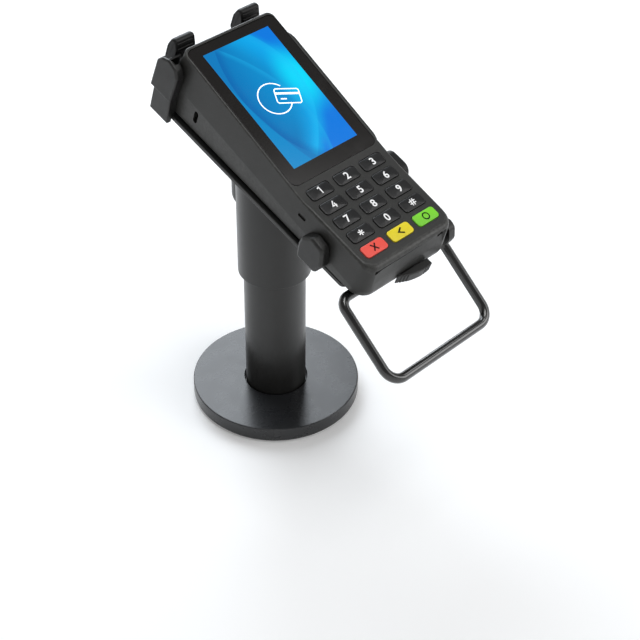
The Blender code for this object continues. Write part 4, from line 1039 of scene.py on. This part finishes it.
def make_key(name, x, y):
    """A cap with rounded shoulders and a crowned top."""
    rings = []
    for grow, level in ((0, -3.2), (0, -0.4), (-0.05, -0.2), (-0.16, -0.06), (-0.34, 0.0)):
        rings.append([(u, v, level * MM - crown(u, v)) for u, v in key_outline(grow * MM)])
    inner = key_outline(-0.34 * MM)
    for size in (0.93, 0.84, 0.72, 0.56, 0.38, 0.18):
        rings.append([(u * size, v * size, -crown(u * size, v * size)) for u, v in inner])
    body = f"key_{name}_button"
    place = TILT @ KEYPAD_IN_TILT @ Matrix.Translation((x, y, 0))
    show(f"keycap_{name}", loft(rings), LAST_ROW.get(name, "key_black"), body, [f"key_{name}"], place, flat=60)
    return body, place


def digit(name, text, body, place):
    """A number or sign printed on a key."""
    font = bpy.data.curves.new(f"legend_{name}", "FONT")
    font.body = text
    font.size = DIGIT_SIZE
    font.align_x, font.align_y = "CENTER", "CENTER"
    font.offset = 0.16 * MM
    font.extrude = 0.03 * MM
    source = placed(f"legend_{name}", font)
    made = evaluated(source)
    bpy.data.objects.remove(source)
    box = [min(v.co[i] for v in made.verts) + max(v.co[i] for v in made.verts) for i in (0, 1)]
    moved(made, Matrix.Translation((-box[0] / 2, -box[1] / 2, 0.03 * MM)))
    show(f"legend_{name}", made, "legend_white", body, place=place)


def star_strokes():
    reach, width = 2.2 * MM, 0.85 * MM
    ends = [(reach * math.cos(t), reach * math.sin(t)) for t in (math.radians(90 + 60 * i) for i in range(3))]
    return [([(-u, -v), (u, v)], width, False) for u, v in ends]


def hash_strokes():
    reach, width, lean = 2.5 * MM, 0.75 * MM, 0.35 * MM
    offsets = mm(-0.85, 0.85)
    up = [([(at - lean, -reach), (at + lean, reach)], width, False) for at in offsets]
    return up + [([(-reach, at), (reach, at)], width, False) for at in offsets]


def sign_strokes(name):
    if name == "cancel":
        return [([mm(-1.9, s * -2.4), mm(1.9, s * 2.4)], 0.95 * MM, False) for s in (-1, 1)]
    if name == "clear":
        return [([mm(1.8, 2.2), mm(-1.7, 0), mm(1.8, -2.2)], 1.0 * MM, False)]
    return [(circle(0, 0, 2.35 * MM, 40), 0.8 * MM, True)]


def make_keys():
    for name, x, y in key_places():
        body, place = make_key(name, x, y)
        top = place @ Matrix.Translation((0, 0, 0.012 * MM))
        if name in DRAWN_DIGITS:
            strokes = [([mm(*point) for point in line], 0.85 * MM, False) for line in DRAWN_DIGITS[name]]
            mark(f"legend_{name}", strokes, "legend_white", body, top)
        elif name.isdigit():
            digit(name, name, body, top)
        elif name in LAST_ROW:
            mark(f"legend_{name}", sign_strokes(name), "legend_black", body, top)
        else:
            strokes = star_strokes() if name == "star" else hash_strokes()
            mark(f"legend_{name}", strokes, "legend_white", body, top)


# ---- pieces that keep their CAD shape ----


def dress_cad_nodes():
    """Materials for every CAD node that is still shown, and eased edges for the tilt parts and the handle
    clamps. The unnamed ones are steel.
    """
    named = {
        "soft_rubber": "base_foot_pad terminal_pad_left terminal_pad_right key_mat",
        "bush_plastic": "swivel_bush_lower swivel_bush_upper",
        "plate_paint": "tilt_head tilt_bracket handle_clamp_left handle_clamp_right",
        "board": "contactless_antenna keypad_board main_board",
        "screen_picture": "display_panel",
        "key_black": "card_reader",
    }
    finishes = {node: finish for finish, nodes in named.items() for node in nodes.split()}
    eased_edges = ("tilt_head", "tilt_bracket", "tilt_axle", "handle_clamp_left", "handle_clamp_right")
    for name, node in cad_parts.items():
        if node.hide_render:
            continue
        node.data.materials.clear()
        node.data.materials.append(FINISHES[finishes.get(name, "screw_steel")])
        if name in eased_edges:
            bevel = node.modifiers.new("eased", "BEVEL")
            bevel.width = 0.4 * MM
            bevel.segments = 2
            bevel.limit_method = "ANGLE"
            bevel.angle_limit = math.radians(40)


# ---- studio ----


def make_floor():
    floor = bmesh.new()
    bmesh.ops.create_grid(floor, x_segments=4, y_segments=4, size=6)
    obj = as_object("floor", floor)
    r = Recipe("floor", Roughness=0.6, Emission_Strength=0.19)
    base = r.mix(r.noise(3, 2, 0.5), (0.86, 0.86, 0.86), (0.88, 0.88, 0.88))
    r.fill(r.shader, Base_Color=base, Emission_Color=base)
    obj.data.materials.append(r.material)


def area_light(name, place, target, size, power, tint):
    light = bpy.data.lights.new(name, "AREA")
    light.shape = "RECTANGLE"
    light.size, light.size_y = size
    light.energy = power
    light.color = tint
    obj = placed(name, light)
    obj.location = place
    obj.rotation_euler = (Vector(target) - Vector(place)).to_track_quat("-Z", "Y").to_euler()


def make_light():
    """A white surround that darkens overhead, and soft boxes."""
    world = bpy.data.worlds.new("studio")
    bpy.context.scene.world = world
    world.use_nodes = True
    tree = world.node_tree
    coordinates = tree.nodes.new("ShaderNodeTexCoord")
    split = tree.nodes.new("ShaderNodeSeparateXYZ")
    ramp = tree.nodes.new("ShaderNodeValToRGB")
    tree.links.new(coordinates.outputs["Generated"], split.inputs[0])
    tree.links.new(split.outputs[2], ramp.inputs[0])
    ramp.color_ramp.elements[0].position = 0.12
    ramp.color_ramp.elements[0].color = (1.0, 1.0, 1.0, 1)
    ramp.color_ramp.elements[1].position = 0.5
    ramp.color_ramp.elements[1].color = (0.22, 0.22, 0.22, 1)
    tree.links.new(ramp.outputs[0], tree.nodes["Background"].inputs[0])
    tree.nodes["Background"].inputs[1].default_value = 1.0
    for box in SOFT_BOXES:
        area_light(*box)


def make_camera():
    """The photo's view, fitted to it."""
    data = bpy.data.cameras.new("view")
    data.sensor_width = SENSOR
    data.lens = FOCAL_PIXELS / FRAME_PIXELS * SENSOR
    camera = placed("view", data)
    azimuth, elevation, roll = (math.radians(angle) for angle in CAMERA_ANGLES)
    back = Vector((
        math.sin(azimuth) * math.cos(elevation), -math.cos(azimuth) * math.cos(elevation), math.sin(elevation)))
    right = Vector((math.cos(azimuth), math.sin(azimuth), 0))
    up = back.cross(right)
    right, up = right * math.cos(roll) + up * math.sin(roll), up * math.cos(roll) - right * math.sin(roll)
    turn = Matrix((right, up, back)).transposed().to_4x4()
    camera.matrix_world = Matrix.Translation(CAMERA_PLACE) @ turn
    data.clip_start, data.clip_end = 0.05, 30
    bpy.context.scene.camera = camera
    bpy.context.scene.view_settings.view_transform = "Standard"


make_stand()
make_hood()
make_plate()
make_clips()
make_side_hook()
make_rear_hooks()
make_front_stop()
make_handle()
make_case()
make_glass()
make_icon()
make_keys()
dress_cad_nodes()
make_floor()
make_light()
make_camera()

bpy.context.view_layer.update()
